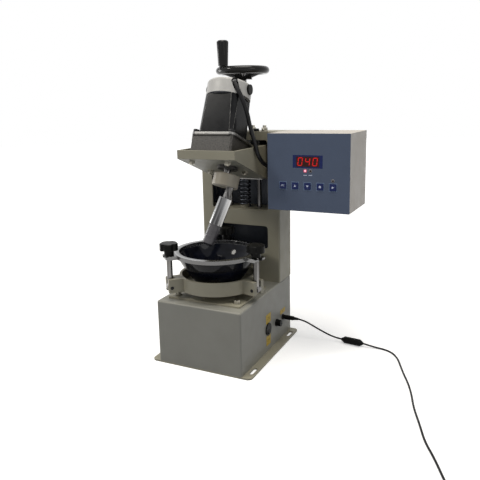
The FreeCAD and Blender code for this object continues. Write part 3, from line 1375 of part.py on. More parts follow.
def least_gap(points, diameter, skip):
    """The smallest free space between two points of a winding that aren't neighbours."""
    gap = None
    for i, one in enumerate(points):
        for other in points[i + skip:]:
            distance = (one - other).Length - diameter
            gap = distance if gap is None else min(gap, distance)
    return gap


def make_spring():
    """Pressure spring between the shelf and the carriage block, one unbroken helix."""
    wire = number("spring_wire")
    turns = int(number("spring_count"))
    low = number("shelf_top + seat_gap / 2 + spring_wire / 2")
    high = number("block_bottom - seat_gap / 2 - spring_wire / 2")
    radius = number("spring_radius")
    middle = point("0", "guide_y", "0")

    def place(turn):
        angle = 2 * math.pi * turn
        rise = low + (high - low) * turn / turns
        return middle + Vector(radius * math.cos(angle), radius * math.sin(angle), rise)

    steps = [quarter / 4 for quarter in range(4 * turns + 1)]
    path = Part.Wire(winding(place, heading_of(place), steps))
    solid = tube(path, wire / 2, "pressure_spring")
    samples = [place(i / 24) for i in range(24 * turns + 1)]
    print("pressure_spring least gap mm", round(least_gap(samples, wire, 12), 2))
    node("pressure_spring", made("pressure_spring_helix", solid))


def make_supply_lead():
    """Plug, lead, ferrite bead, put-away coil and mains adapter."""
    core = "plug_radius / 2"
    plug = fuse("plug_blank", [
        cylinder("plug_pin", ("side_face - jack_depth / 2 + seat_gap", "jack_place",
                 "inlet_height"), core,
                 "jack_depth / 2 - seat_gap + bezel_height + running_gap + plug_radius", "x"),
        cylinder("plug_grip", ("plug_start", "jack_place", "inlet_height"), "plug_radius",
                 "plug_length", "x"),
        cone("plug_taper", ("plug_start + plug_length", "jack_place", "inlet_height"),
             ("plug_radius * relief_share", "cord_radius * relief_end_share"), "plug_relief",
             "x")])
    node("supply_plug", plug)
    radius = number("cord_radius")
    path = rounded_path(LEAD_TO_BEAD, "supply_lead")
    node("supply_lead", made("supply_lead_tube", tube(path, radius, "supply_lead")))

    start, end = (Vector(*p) for p in BEAD_AXIS)
    along = unit(end - start)
    taper = number("bead_taper")
    middle = (end - start).Length - 2 * taper
    big, small = number("bead_radius"), number("cord_radius * relief_end_share")
    bead = Part.makeCone(small, big, taper, start, along)
    bead = bead.fuse(Part.makeCylinder(big, middle, start + along * taper, along))
    bead = bead.fuse(Part.makeCone(big, small, taper, end - along * taper, along))
    mouth, depth = (radius + small) / 2, number("bead_mouth")
    bead = bead.removeSplitter()
    bead = bead.cut(Part.makeCylinder(mouth, depth, start, along))
    bead = bead.cut(Part.makeCylinder(mouth, depth, end, along * -1))
    node("ferrite_bead", made("ferrite_bead_body", bead))

    path = rounded_path(LEAD_TO_COIL, "bench_lead")
    node("bench_lead", made("bench_lead_tube", tube(path, radius, "bench_lead")))
    make_coil(Vector(*LEAD_TO_COIL[-2]), Vector(*LEAD_TO_COIL[-1]))


def make_coil(before, entry):
    """Two layers of turns that spiral in, climb and spiral out again to the adapter."""
    diameter = number("cord_diameter")
    turns, back = number("coil_in_count"), number("coil_out_count")
    pitch, layer = number("coil_pitch"), number("coil_layer")
    inner = number("coil_inner")
    outer = inner + pitch * turns
    way = unit(entry - before)
    inward = Vector(way.y, -way.x, 0)
    straight = entry + way * diameter
    centre = straight + inward * outer
    phase = math.atan2(-inward.y, -inward.x)
    floor = entry.z
    climbed = turns + HALF_TURN
    last = climbed + back

    def place(turn):
        sense = phase - 2 * math.pi * turn
        radius, height = inner, floor + layer * (turn - turns) / HALF_TURN
        if turn <= turns:
            radius, height = outer - pitch * turn, floor
        elif turn >= climbed:
            radius, height = inner + pitch * (turn - climbed), floor + layer
        return Vector(centre.x + radius * math.cos(sense), centre.y + radius * math.sin(sense),
                      height)

    def heading(turn):
        if turn <= 0:
            return way
        if abs(turn - turns) < TINY or abs(turn - climbed) < TINY or turn >= last:
            radial = place(turn) - centre
            return unit(Vector(radial.y, -radial.x, 0))
        return unit(place(turn + TINY) - place(turn - TINY))

    steps = [quarter / 4 for quarter in range(int(4 * last) + 1)]
    end, out = place(last), heading(last)
    edges = [Part.LineSegment(entry, straight).toShape()]
    edges += winding(place, heading, steps)
    edges.append(Part.LineSegment(end, end + out * diameter).toShape())
    path = Part.Wire(edges)
    solid = tube(path, diameter / 2, "lead_coil")
    samples = [place(i / 24) for i in range(int(24 * last) + 1)]
    print("lead_coil least gap mm", round(least_gap(samples, diameter, 12), 2),
          "outer radius mm", round(outer + diameter / 2, 1))
    node("lead_coil", made("lead_coil_turns", solid))

    start = end + out * diameter
    length, width = number("adapter_length"), number("adapter_width")
    height, corner = number("adapter_height"), number("adapter_corner")
    relief = number("adapter_relief")
    cone_part = Part.makeCone(
        number("cord_radius * relief_end_share"), diameter, relief, start, out)
    case = Part.makeBox(length, width, height, Vector(0, -width / 2, 0))
    case = case.makeFillet(corner, [edge for edge in case.Edges if edge.BoundBox.ZLength > corner])
    case = case.makeFillet(corner / 2, [
        edge for edge in case.Edges if edge.BoundBox.ZMin > height - corner / 4])
    turn = math.degrees(math.atan2(out.y, out.x))
    foot = start + out * (relief - corner / 5)
    case.Placement = Placement(Vector(foot.x, foot.y, 0), Rotation(Vector(0, 0, 1), turn))
    adapter = case.fuse(cone_part)
    print("adapter from", [round(c, 1) for c in start], "along", [round(c, 3) for c in out])
    node("mains_adapter", made("mains_adapter_body", adapter))


def cable_hole():
    """The slanting hole of the motor lead in the end cap, open downwards and outwards."""
    outward = Rotation(Vector(0, 0, 1), number("cable_angle"))
    mouth = outward.multVec(point("motor_radius", "0", "0"))
    mouth += point("0", "0", "cap_low + cap_height / 2")
    lean = Rotation(Vector(0, 1, 0), 180 - number("cable_lean"))
    return Placement(mouth, lean) * Placement(point("0", "0", "0 - cable_hole_depth"), Rotation())


def make_motor_cable():
    """Motor lead from the end cap down the motor's right side to the control box."""
    path = rounded_path(MOTOR_LEAD, "motor_cable")
    solid = tube(path, number("cable_diameter / 2"), "motor_cable")
    hole = drive_frame() * cable_hole()
    print("lead hole", [round(c, 1) for c in hole.Base], "way",
          [round(c, 3) for c in hole.Rotation.multVec(Vector(0, 0, 1))])
    node("motor_cable", made("motor_cable_tube", solid))


make_base()
make_column()
make_carriage()
make_drive()
make_hub()
make_pestle()
make_turntable_base()
make_turntable()
make_clamps()
make_lift()
make_control_box()
make_side_fittings()
make_rocker()
make_spring()
make_supply_lead()
make_motor_cable()

doc.recompute()
faults = [thing.Name for thing in doc.Objects
          if "Invalid" in thing.State or "Error" in thing.State]
faults += [thing.Label for thing in nodes if thing.Shape.isNull() or not thing.Shape.isValid()]
if faults:
    raise RuntimeError("These objects failed: " + ", ".join(faults))

os.makedirs("parts", exist_ok=True)
for thing in nodes:
    thing.Shape.exportStep(os.path.join("parts", thing.Label + ".step"))
print(len(nodes), "sub-parts")
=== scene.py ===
"""The look of an analytical lab mill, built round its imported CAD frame.

Metres, unless a comment says mm. +Z up, +X right, the front faces -Y.
"""

import json
import math

import bmesh
import bpy
from bpy.props import FloatProperty, FloatVectorProperty, IntProperty, PointerProperty
from mathutils import Matrix, Vector


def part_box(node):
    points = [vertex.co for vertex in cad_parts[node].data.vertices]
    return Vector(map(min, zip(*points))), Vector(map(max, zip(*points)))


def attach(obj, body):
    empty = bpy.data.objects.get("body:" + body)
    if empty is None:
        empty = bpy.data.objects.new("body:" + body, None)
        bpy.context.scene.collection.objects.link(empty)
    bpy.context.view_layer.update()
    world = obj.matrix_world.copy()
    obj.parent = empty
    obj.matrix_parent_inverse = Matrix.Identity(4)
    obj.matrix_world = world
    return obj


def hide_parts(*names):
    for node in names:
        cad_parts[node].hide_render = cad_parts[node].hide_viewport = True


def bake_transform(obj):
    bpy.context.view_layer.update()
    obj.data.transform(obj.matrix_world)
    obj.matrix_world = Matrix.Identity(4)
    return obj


bl_info = {
    "name": "Lab Mill Look",
    "version": (1, 0, 0),
    "blender": (4, 5, 0),
    "location": "View3D > Sidebar > Lab Mill",
    "description": "Finishes, cords and small fittings of a bench mortar grinder",
    "category": "Object",
}

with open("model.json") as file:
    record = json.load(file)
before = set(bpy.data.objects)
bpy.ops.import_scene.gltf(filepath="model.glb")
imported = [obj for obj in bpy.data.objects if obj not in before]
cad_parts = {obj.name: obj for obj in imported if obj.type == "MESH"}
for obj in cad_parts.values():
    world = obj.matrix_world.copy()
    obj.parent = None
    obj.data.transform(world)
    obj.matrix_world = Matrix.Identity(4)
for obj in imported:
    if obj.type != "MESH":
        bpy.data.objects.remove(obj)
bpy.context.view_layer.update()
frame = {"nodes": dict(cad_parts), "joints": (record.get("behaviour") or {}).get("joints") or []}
JOINTS = {joint["name"]: joint for joint in frame["joints"]}
MM = 0.001


# Sizes and colours

def size(name, default, text):
    return FloatProperty(name=name, default=default, unit="LENGTH", description=text)


def colour(name, default, text):
    return FloatVectorProperty(name=name, default=default, subtype="COLOR", size=3,
                               min=0.0, max=1.0, description=text)


class LabMillColours(bpy.types.PropertyGroup):
    """Colours of the mill's finishes."""
    frame_paint: colour("Frame paint", (0.300, 0.282, 0.215), "Base, column, tray and cup")
    # Painted shade: a dark colour for the column's inner faces, where the hollow lies in shade.
    inner_shade: colour("Column inside", (0.062, 0.070, 0.088), "Inner faces of the column")
    # Painted shade: the frame's paint made darker and cooler for the low base housing, which gets
    # less light; it is the same paint.
    base_paint: colour("Base paint", (0.262, 0.257, 0.225), "Base housing, a cooler batch")
    box_paint: colour("Box paint", (0.42, 0.385, 0.335), "Control box")
    panel_paint: colour("Panel", (0.081, 0.105, 0.160), "Front panel of the control box")
    panel_print: colour("Panel print", (0.150, 0.205, 0.320), "Borders printed round the keys")
    navy: colour("Navy", (0.004, 0.012, 0.085), "Keys and the display's border")
    hub_paint: colour("Drive hub", (0.34, 0.305, 0.235), "Hub that carries the pestle")
    black: colour("Black plastic", (0.0055, 0.0055, 0.0052), "Wheel, knobs, plug and adapter")
    motor_black: colour("Motor paint", (0.0075, 0.008, 0.0092), "Motor body")
    gear_grey: colour("Gearbox paint", (0.045, 0.042, 0.038), "Gearbox under the motor")
    cast_grey: colour("Cast grey", (0.42, 0.415, 0.40), "Motor end cap")
    aluminium: colour("Aluminium", (0.22, 0.217, 0.21), "Carriage block")
    steel: colour("Steel", (0.125, 0.122, 0.120), "Shafts, rods and the lead screw")
    agate: colour("Agate", (0.0060, 0.0072, 0.0125), "Mortar")
    pestle_agate: colour("Pestle agate", (0.075, 0.072, 0.078), "Pestle, a paler piece of agate")
    label: colour("Plates", (0.50, 0.34, 0.035), "Plates beside the fittings")
    lit_red: colour("Lit red", (0.80, 0.022, 0.025), "Digits")


class LabMillSizes(bpy.types.PropertyGroup):
    """Sizes of the small fittings, which the frame doesn't hold."""
    digit_height: size("Digit height", 12.8 * MM, "Digits, between their level bars")
    digit_pitch: size("Digit pitch", 13.2 * MM, "Digit to digit")
    digit_stroke: size("Digit stroke", 1.35 * MM, "Width of a lit segment")
    lens_inset: size("Lens inset", 6 * MM, "Display border, left and right of the lens")
    lens_margin: size("Lens margin", 2.4 * MM, "Display border, above and below the lens")
    key_border: size("Key border", 1.3 * MM, "Printed border round a key")
    cord_width: size("Supply lead", 3.2 * MM, "Diameter of the supply lead")
    motor_lead_width: size("Motor lead", 7.5 * MM, "Diameter of the motor lead")
    plate_screw: size("Plate screw", 5.6 * MM, "Top plate's hexagons, centre to corner")
    screw_head: size("Cover screw", 3.4 * MM, "Head radius of the cover screws")
    cap_screw: size("Cap screw", 5 * MM, "Head radius of the socket screws")
    wire: size("Spring wire", 3.0 * MM, "Wire of the pressure spring")
    spring_turns: IntProperty(name="Spring turns", default=7, description="Turns of the spring")
    screw_pitch: size("Lead", 4 * MM, "Pitch of the lead screw")


def colours():
    return bpy.context.scene.lab_mill_colours


def sizes():
    return bpy.context.scene.lab_mill_sizes


# Places taken from the frame

CLAMPS = (1, 2, 3)
DRIVE_AXIS = Vector(JOINTS["hub_spin"]["axis"])
DRIVE_FOOT = Vector((0.0, -22.015 * MM, 344.899 * MM))  # the gearbox axis on the tray's floor
PESTLE_AXIS = Vector(JOINTS["pestle_spin"]["axis"])
PESTLE_PLACE = Vector(JOINTS["pestle_spin"]["pos_m"])
MORTAR_PLACE = Vector(JOINTS["turntable_spin"]["pos_m"])


def column_inside():
    """Limits along X and Y of the folded column's hollow, with its sheet's inner faces, where the
    painted shade goes.
    """
    low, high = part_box("column_shell")
    wall, rear = 2.9 * MM, 1.9 * MM
    return ("X", low.x + wall, high.x - wall), ("Y", low.y + wall, high.y - rear)


def frame_of(origin, up, side=(1, 0, 0)):
    """A place whose local Z is up and whose local X lies nearest to side."""
    z = Vector(up).normalized()
    x = Vector(side)
    x = (x - z * x.dot(z)).normalized()
    spin = Matrix((x, z.cross(x), z)).transposed().to_4x4()
    return Matrix.Translation(Vector(origin)) @ spin


def in_mm(points):
    """Points given in millimetres."""
    return [Vector(p) * MM for p in points]


# Finishes

def tinted(value, share):
    """A colour made lighter or darker by a share, as a shader's four numbers."""
    return (*(min(1.0, c * share) for c in value), 1.0)


def shade(tint):
    """A colour given by its numbers, or by its name among the scene's colours."""
    return getattr(colours(), tint) if isinstance(tint, str) else tint


def seen_directly(nodes, links):
    """One for what the camera sees, straight or in a mirroring or clear surface, else zero."""
    paths = nodes.new("ShaderNodeLightPath").outputs
    seen = paths["Is Camera Ray"]
    for other in ("Is Glossy Ray", "Is Transmission Ray"):
        either = nodes.new("ShaderNodeMath")
        either.operation = "MAXIMUM"
        links.new(seen, either.inputs[0])
        links.new(paths[other], either.inputs[1])
        seen = either.outputs["Value"]
    return seen


class Finish:
    """One procedural material; features, radii and heights in mm."""
    MOTTLE_LOW, MOTTLE_HIGH = 0.32, 0.68  # shares of the noise where the colour stops drifting
    BEVEL_SAMPLES = 6
    FLAT = 0.99  # how alike the two normals are away from every edge
    # Patches of the lightened edges, which are wear and painted highlight.
    WEAR_FEATURE, WEAR_LEAST = 6, 0.2
    GLOSS_DETAIL, GRAIN_DETAIL = 4.0, 2.0
    BLUE_CAST = 1.01  # of the ring's painted highlight bands
    BAND_SCALE = 2 / 6.2832  # of a wave texture whose bands lie about 1 m apart

    def __init__(self, name, value, roughness, metallic):
        self.material = bpy.data.materials.new(name)
        self.material.use_nodes = True
        self.material.diffuse_color = (*value, 1.0)
        self.nodes = self.material.node_tree.nodes
        self.links = self.material.node_tree.links
        self.shader = self.nodes["Principled BSDF"]
        self.value = value
        self.set(self.shader, Base_Color=(*value, 1.0), Roughness=roughness, Metallic=metallic)
        self.place = self.nodes.new("ShaderNodeTexCoord").outputs["Object"]
        self.normal = None

    def set(self, node, **inputs):
        """Link or set a node's inputs by name, with _ for a space."""
        for name, setting in inputs.items():
            self.feed(node.inputs[name.replace("_", " ")], setting)
        return node

    def feed(self, socket, setting):
        if hasattr(setting, "is_output"):
            self.links.new(setting, socket)
        else:
            socket.default_value = setting

    def add(self, kind, **inputs):
        return self.set(self.nodes.new("ShaderNode" + kind), **inputs)

    def reckoned(self, kind, value, other):
        """Two values joined by one step of arithmetic."""
        node = self.add("Math", Value=value)
        node.operation = kind
        self.feed(node.inputs[1], other)
        return node.outputs["Value"]

    def distance(self, place):
        node = self.add("VectorMath", Vector=place)
        node.operation = "LENGTH"
        return node.outputs["Value"]

    def noise(self, feature, detail=3.0, stretch=None):
        where = self.place
        if stretch is not None:
            where = self.add("Mapping", Vector=where, Scale=stretch).outputs["Vector"]
        return self.add("TexNoise", Vector=where, Scale=1 / (feature * MM),
                        Detail=detail).outputs["Fac"]

    def ranged(self, value, low, high, start=0.3, end=0.7):
        return self.add("MapRange", Value=value, From_Min=start, From_Max=end,
                        To_Min=low, To_Max=high).outputs["Result"]

    def ramped(self, value, marks):
        """The colour follows a value through marks of a share and a colour."""
        ramp = self.nodes.new("ShaderNodeValToRGB")
        elements = ramp.color_ramp.elements
        while len(elements) < len(marks):
            elements.new(0.5)
        for element, (share, tone) in zip(elements, marks):
            element.position = share
            element.color = tone
        self.links.new(value, ramp.inputs["Fac"])
        self.tone = ramp.outputs["Color"]
        self.set(self.shader, Base_Color=self.tone)
        return self

    def blended(self, share, under, over):
        """The colour goes from one tone to another by a share."""
        mix = self.nodes.new("ShaderNodeMix")
        mix.data_type = "RGBA"
        self.set(mix, Factor=share, A=under, B=over)
        self.set(self.shader, Base_Color=mix.outputs["Result"])
        return self

    def mottled(self, amount, feature, stretch=None, detail=3.0):
        """The colour drifts between a lighter and a darker tone."""
        return self.ramped(self.noise(feature, detail, stretch),
                           ((self.MOTTLE_LOW, tinted(self.value, 1 - amount)),
                            (self.MOTTLE_HIGH, tinted(self.value, 1 + amount))))

    def uneven(self, low, high, feature, stretch=None):
        """The gloss varies, as handling and polishing leave it."""
        noise = self.noise(feature, self.GLOSS_DETAIL, stretch)
        self.set(self.shader, Roughness=self.ranged(noise, low, high))
        return self

    def grained(self, height, feature, strength, stretch=None):
        """A fine relief."""
        noise = self.noise(feature, self.GRAIN_DETAIL, stretch)
        return self.onto(self.add("Bump", Height=noise, Distance=height * MM,
                                  Strength=strength))

    def threaded(self, height):
        """Grooves along local Z, about one to each pitch of the lead screw."""
        wave = self.add("TexWave", Vector=self.place,
                        Scale=self.BAND_SCALE / sizes().screw_pitch)
        wave.bands_direction = "Z"
        return self.onto(self.add("Bump", Height=wave.outputs["Fac"], Distance=height * MM))

    def onto(self, bump):
        """A relief on top of the ones before it."""
        if self.normal is not None:
            self.set(bump, Normal=self.normal)
        self.normal = bump.outputs["Normal"]
        self.set(self.shader, Normal=self.normal)
        return self

    def edged(self, radius, wear_and_glint=0.0, worn_and_glint=None, full=0.86):
        """Edges catch the light as if rounded, and may be lightened there: worn finish and painted
        highlight along the edge.
        """
        bevel = self.add("Bevel", Radius=radius * MM)
        bevel.samples = self.BEVEL_SAMPLES
        if wear_and_glint:
            dot = self.nodes.new("ShaderNodeVectorMath")
            dot.operation = "DOT_PRODUCT"
            self.feed(dot.inputs[0], bevel.outputs["Normal"])
            self.feed(dot.inputs[1], self.nodes.new("ShaderNodeNewGeometry").outputs["Normal"])
            rubbed_and_lit = self.ranged(dot.outputs["Value"], wear_and_glint, 0.0, full, self.FLAT)
            patches = self.ranged(self.noise(self.WEAR_FEATURE), self.WEAR_LEAST, 1.0)
            self.blended(self.reckoned("MULTIPLY", rubbed_and_lit, patches), self.tone, (*worn_and_glint, 1.0))
        self.normal = bevel.outputs["Normal"]
        self.set(self.shader, Normal=self.normal)
        return self

    def dulled(self, level):
        """How strongly the surface mirrors its surroundings, 0.5 for common paint."""
        self.set(self.shader, Specular_IOR_Level=level)
        return self

    def glowing(self, tint, strength):
        self.set(self.shader, Emission_Color=(*shade(tint), 1.0), Emission_Strength=strength)
        return self

    def along(self, origin, axis):
        """Patterns follow an axis of the object's own space from here on."""
        spot = frame_of(origin, axis)
        node = self.add("Mapping", Vector=self.place, Location=spot.translation,
                        Rotation=spot.to_euler())
        node.vector_type = "TEXTURE"
        self.place = node.outputs["Vector"]
        return self

    def banded(self, low, high, stops):
        """Tones that change with the distance from the local Z axis."""
        flat = self.add("VectorMath", Vector=self.place)
        flat.operation = "MULTIPLY"
        flat.inputs[1].default_value = (1, 1, 0)
        reach = self.distance(flat.outputs["Vector"])
        return self.ramped(self.ranged(reach, 0.0, 1.0, low * MM, high * MM),
                           [(share, (tone, tone, tone * self.BLUE_CAST, 1.0))
                            for share, tone in stops])

    def lined(self, tint, *inside):
        """Another colour wherever the place lies between limits along axes of its own space."""
        split = self.add("SeparateXYZ", Vector=self.place)
        share = None
        for axis, low, high in inside:
            for limit, kind in ((low, "GREATER_THAN"), (high, "LESS_THAN")):
                test = self.reckoned(kind, split.outputs[axis], limit)
                share = test if share is None else self.reckoned("MULTIPLY", share, test)
        under = self.shader.inputs["Base Color"].links[0].from_socket
        return self.blended(share, under, (*shade(tint), 1.0))

    def fading(self, given_back, near, far):
        """A floor that keeps the shadow and fades into the white surroundings.

        The colour is what it gives back as light. near and far are a distance from the
        middle in metres and its own glow there.
        """
        seen = seen_directly(self.nodes, self.links)
        self.blended(seen, (*given_back, 1.0), self.tone)
        glow = self.ranged(self.distance(self.place), near[1], far[1], near[0], far[0])
        self.set(self.shader, Emission_Color=(1, 1, 1, 1),
                 Emission_Strength=self.reckoned("MULTIPLY", seen, glow))
        return self


def look(tint, roughness, metallic=0.0, **steps):
    """A row of LOOKS. Its steps are methods of Finish with what they are called with."""
    return tint, roughness, metallic, steps


# Sheet paint; its lightened edges are wear and painted highlight.
SHEET_PAINT = {"mottled": (0.04, 50), "edged": (0.9, 0.30, (0.42, 0.40, 0.32)), "dulled": 0.3,
               "uneven": (0.38, 0.52, 20), "grained": (0.10, 0.9, 0.45)}

LOOKS = {
    "frame_paint": look("frame_paint", 0.42, **SHEET_PAINT),
    # Frame paint made darker and cooler: painted shade on the low base housing.
    "base_paint": look("base_paint", 0.42,
        **{**SHEET_PAINT, "edged": (0.9, 0.40, (0.42, 0.40, 0.34))}),
    # Frame paint outside; the inner faces of the folded sheet are darkened as painted shade of the
    # hollow.
    "column_paint": look("frame_paint", 0.42, **SHEET_PAINT,
        lined=("inner_shade", *column_inside())),
    "box_paint": look("box_paint", 0.40, mottled=(0.03, 40), edged=(0.9, 0.25, (0.52, 0.50, 0.45)),
        dulled=0.35, uneven=(0.36, 0.50, 20), grained=(0.08, 0.8, 0.45)),
    "panel_film": look("panel_paint", 0.40, mottled=(0.04, 30),
        edged=(0.5, 0.4, (0.20, 0.22, 0.26)), dulled=0.22, uneven=(0.36, 0.48, 15),
        grained=(0.03, 0.35, 0.4)),
    "panel_print": look("panel_print", 0.45, mottled=(0.05, 2), dulled=0.2),
    "navy_moulding": look("navy", 0.34, mottled=(0.12, 4), edged=0.6, dulled=0.2,
        uneven=(0.28, 0.44, 3)),
    "legend_white": look((0.62, 0.68, 0.82), 0.5, mottled=(0.05, 2), dulled=0.2),
    "legend_dark": look((0.16, 0.095, 0.008), 0.5, mottled=(0.1, 2), dulled=0.2),
    "hub_paint": look("hub_paint", 0.36, mottled=(0.06, 20), edged=(0.8, 0.5, (0.50, 0.46, 0.38)),
        dulled=0.4, uneven=(0.30, 0.44, 10), grained=(0.06, 0.8, 0.5)),
    "black_moulding": look("black", 0.34, mottled=(0.2, 10), edged=0.6, dulled=0.07,
        uneven=(0.26, 0.42, 8), grained=(0.04, 0.5, 0.5)),
    "gloss_black": look("black", 0.16, mottled=(0.15, 10), edged=0.7, dulled=0.2,
        uneven=(0.10, 0.22, 12), grained=(0.02, 6, 0.4)),
    # Its light lines along the edges and corners are painted highlights.
    "motor_paint": look("motor_black", 0.34, mottled=(0.15, 20),
        edged=(1.6, 1.0, (0.42, 0.41, 0.39), 0.955), dulled=0.06, uneven=(0.16, 0.26, 12),
        grained=(0.02, 1.1, 0.4)),
    # Dark paint over a coarse casting: its strong light and dark speckle is the casting's grain
    # and painted glints.
    "gearbox_cast": look("gear_grey", 0.40, mottled=(0.75, 2, None, 6.0),
        edged=(1.2, 0.6, (0.22, 0.21, 0.20)), dulled=0.30, uneven=(0.26, 0.56, 2),
        grained=(0.35, 1.5, 0.9)),
    "cast_grey": look("cast_grey", 0.42, mottled=(0.04, 12), edged=(0.8, 0.35, (0.60, 0.60, 0.58)),
        dulled=0.35, uneven=(0.36, 0.48, 8), grained=(0.06, 0.7, 0.6)),
    # Bare motor flange over the gearbox's painted cover.
    "drive_flange": look((0.165, 0.163, 0.158), 0.34, 0.8, along=(DRIVE_FOOT, DRIVE_AXIS),
        mottled=(0.12, 8), edged=(0.6, 0.6, (0.34, 0.335, 0.325)),
        lined=((0.022, 0.021, 0.020), ("Z", 44 * MM, 47.8 * MM)), uneven=(0.28, 0.44, 1.5),
        grained=(0.03, 0.6, 0.5)),
    "machined_aluminium": look("aluminium", 0.34, 1.0, mottled=(0.08, 10),
        edged=(0.8, 0.4, (0.62, 0.61, 0.60)), uneven=(0.28, 0.44, 1.5, (1, 1, 14)),
        grained=(0.02, 0.5, 0.5, (1, 1, 16))),
    # Its strong streaks along the axis are painted light and dark bands, the sheen of a round rod.
    "steel": look("steel", 0.26, 1.0, mottled=(0.75, 4.5, (1, 1, 0.04), 1.0), edged=0.5,
        uneven=(0.20, 0.34, 2, (1, 1, 10)), grained=(0.01, 0.4, 0.5, (1, 1, 12))),
    "lead_thread": look("steel", 0.28, 1.0, mottled=(0.25, 6), uneven=(0.22, 0.36, 2),
        threaded=1.2),
    # Its strong streaks along the pestle's axis are painted reflections of chrome, and its bright
    # edges are painted highlights.
    "polished_steel": look((0.30, 0.30, 0.303), 0.14, 1.0, along=(PESTLE_PLACE, PESTLE_AXIS),
        mottled=(0.80, 7.5, (1, 1, 0.04), 1.0), edged=(0.6, 0.7, (0.75, 0.75, 0.75)),
        uneven=(0.08, 0.20, 4, (1, 1, 6)), grained=(0.008, 0.5, 0.5, (1, 1, 14))),
    # Steel ring whose bands by radius are painted highlight and shade: bright at both rims and
    # darker in the hollow between.
    "turned_ring": look((0.30, 0.30, 0.303), 0.22, 1.0, along=(MORTAR_PLACE, (0, 0, 1)),
        banded=(68, 84, ((0.0, 0.34), (0.08, 0.12), (0.28, 0.22), (0.46, 0.36), (0.58, 0.13),
            (0.68, 0.12), (1.0, 0.16))), edged=0.5, uneven=(0.16, 0.30, 4),
        grained=(0.01, 0.5, 0.5, (14, 14, 1))),
    "zinc_plate": look((0.30, 0.285, 0.24), 0.34, 1.0, mottled=(0.3, 3),
        edged=(0.3, 0.7, (0.55, 0.54, 0.50)), uneven=(0.26, 0.44, 1.5)),
    "black_oxide": look((0.012, 0.012, 0.013), 0.38, 0.5, mottled=(0.2, 3), edged=0.3,
        uneven=(0.28, 0.48, 2), dulled=0.25),
    "spring_wire": look((0.085, 0.09, 0.105), 0.22, 0.8, mottled=(0.2, 4), uneven=(0.16, 0.28, 2),
        dulled=0.5),
    # Banded stone, polished: darker and lighter layers under a clear gloss.
    "agate": look("agate", 0.10, mottled=(0.50, 18, (1, 1, 2.2), 6.0), edged=1.0,
        uneven=(0.04, 0.10, 10), dulled=0.13),
    # A paler, satin piece of the same stone.
    "pestle_agate": look("pestle_agate", 0.24, mottled=(0.22, 12, (1, 1, 1.8), 5.0), edged=1.0,
        uneven=(0.18, 0.32, 8), dulled=0.35),
    "smoked_window": look((0.050, 0.008, 0.006), 0.12, mottled=(0.3, 4), edged=0.4,
        uneven=(0.08, 0.16, 20), dulled=0.12),
    "lit_red": look("lit_red", 0.4, mottled=(0.05, 2), dulled=0.0, glowing=("lit_red", 0.30)),
    # A lamp that is on: nearly white in the middle of its red lens.
    "lit_lamp": look((0.9, 0.35, 0.42), 0.3, mottled=(0.05, 2), glowing=((1.0, 0.62, 0.70), 0.9)),
    "glowing_rim": look((0.50, 0.13, 0.19), 0.4, mottled=(0.1, 2), dulled=0.2,
        glowing=((1.0, 0.14, 0.24), 0.26)),
    "unlit_red": look((0.050, 0.012, 0.008), 0.35, mottled=(0.2, 2), dulled=0.1),
    "dark_lens": look((0.012, 0.002, 0.003), 0.2, mottled=(0.1, 2), dulled=0.2),
    "pale_rim": look((0.20, 0.19, 0.20), 0.4, mottled=(0.1, 2), dulled=0.2),
    "plate_yellow": look("label", 0.45, mottled=(0.08, 6), edged=0.2, uneven=(0.38, 0.52, 4),
        dulled=0.25),
    "cord_jacket": look((0.007, 0.007, 0.008), 0.44, mottled=(0.15, 10), dulled=0.18,
        uneven=(0.38, 0.52, 6), grained=(0.03, 0.6, 0.5)),
    "board_green": look((0.02, 0.12, 0.05), 0.35, mottled=(0.3, 4), uneven=(0.25, 0.5, 3)),
    "floor_white": look((0.88, 0.88, 0.88), 0.85, mottled=(0.01, 200), dulled=0.0,
        fading=((0.15, 0.175, 0.235), (0.5, 0.42), (2.4, 1.0))),
}
FINISHES = {}


def finish(name):
    """The named finish, made the first time it is asked for."""
    if name not in FINISHES:
        tint, roughness, metallic, steps = LOOKS[name]
        made = Finish(name, shade(tint), roughness, metallic)
        for step, settings in steps.items():
            getattr(made, step)(*(settings if isinstance(settings, tuple) else (settings,)))
        FINISHES[name] = made.material
    return FINISHES[name]


# Making pieces

PIECE_SHARP, CAD_SHARP = 35, 38  # degrees over which an edge stays sharp
SHARP = {"pestle_sleeve": 50, "handwheel": 45, "handle_grip": 45,
         **{f"clamp_rod_{i}": 50 for i in CLAMPS}}
PER_TURN = 16  # control points to a turn of a coiled spline


def softened(mesh, angle):
    mesh.shade_smooth()
    mesh.set_sharp_from_angle(angle=math.radians(angle))


def linked(name, data):
    """A new object in the scene."""
    made = bpy.data.objects.new(name, data)
    bpy.context.scene.collection.objects.link(made)
    return made


def mesh_from(bm, name, outward=True):
    """A mesh of a bmesh, which is freed, with its faces turned outward."""
    if outward:
        bmesh.ops.recalc_face_normals(bm, faces=bm.faces)
    mesh = bpy.data.meshes.new(name)
    bm.to_mesh(mesh)
    bm.free()
    return mesh


def evaluated(made, name):
    """The mesh that an object comes to, in its place."""
    bpy.context.view_layer.update()
    mesh = bpy.data.meshes.new_from_object(
        made.evaluated_get(bpy.context.evaluated_depsgraph_get()))
    mesh.name = name
    bpy.data.objects.remove(made)
    return mesh


def dress(finish_name, *nodes):
    """Give carried-over CAD nodes their finish, flat faces flat and round ones smooth."""
    for name in nodes:
        mesh = frame["nodes"][name].data
        mesh.materials.clear()
        mesh.materials.append(finish(finish_name))
        softened(mesh, SHARP.get(name, CAD_SHARP))


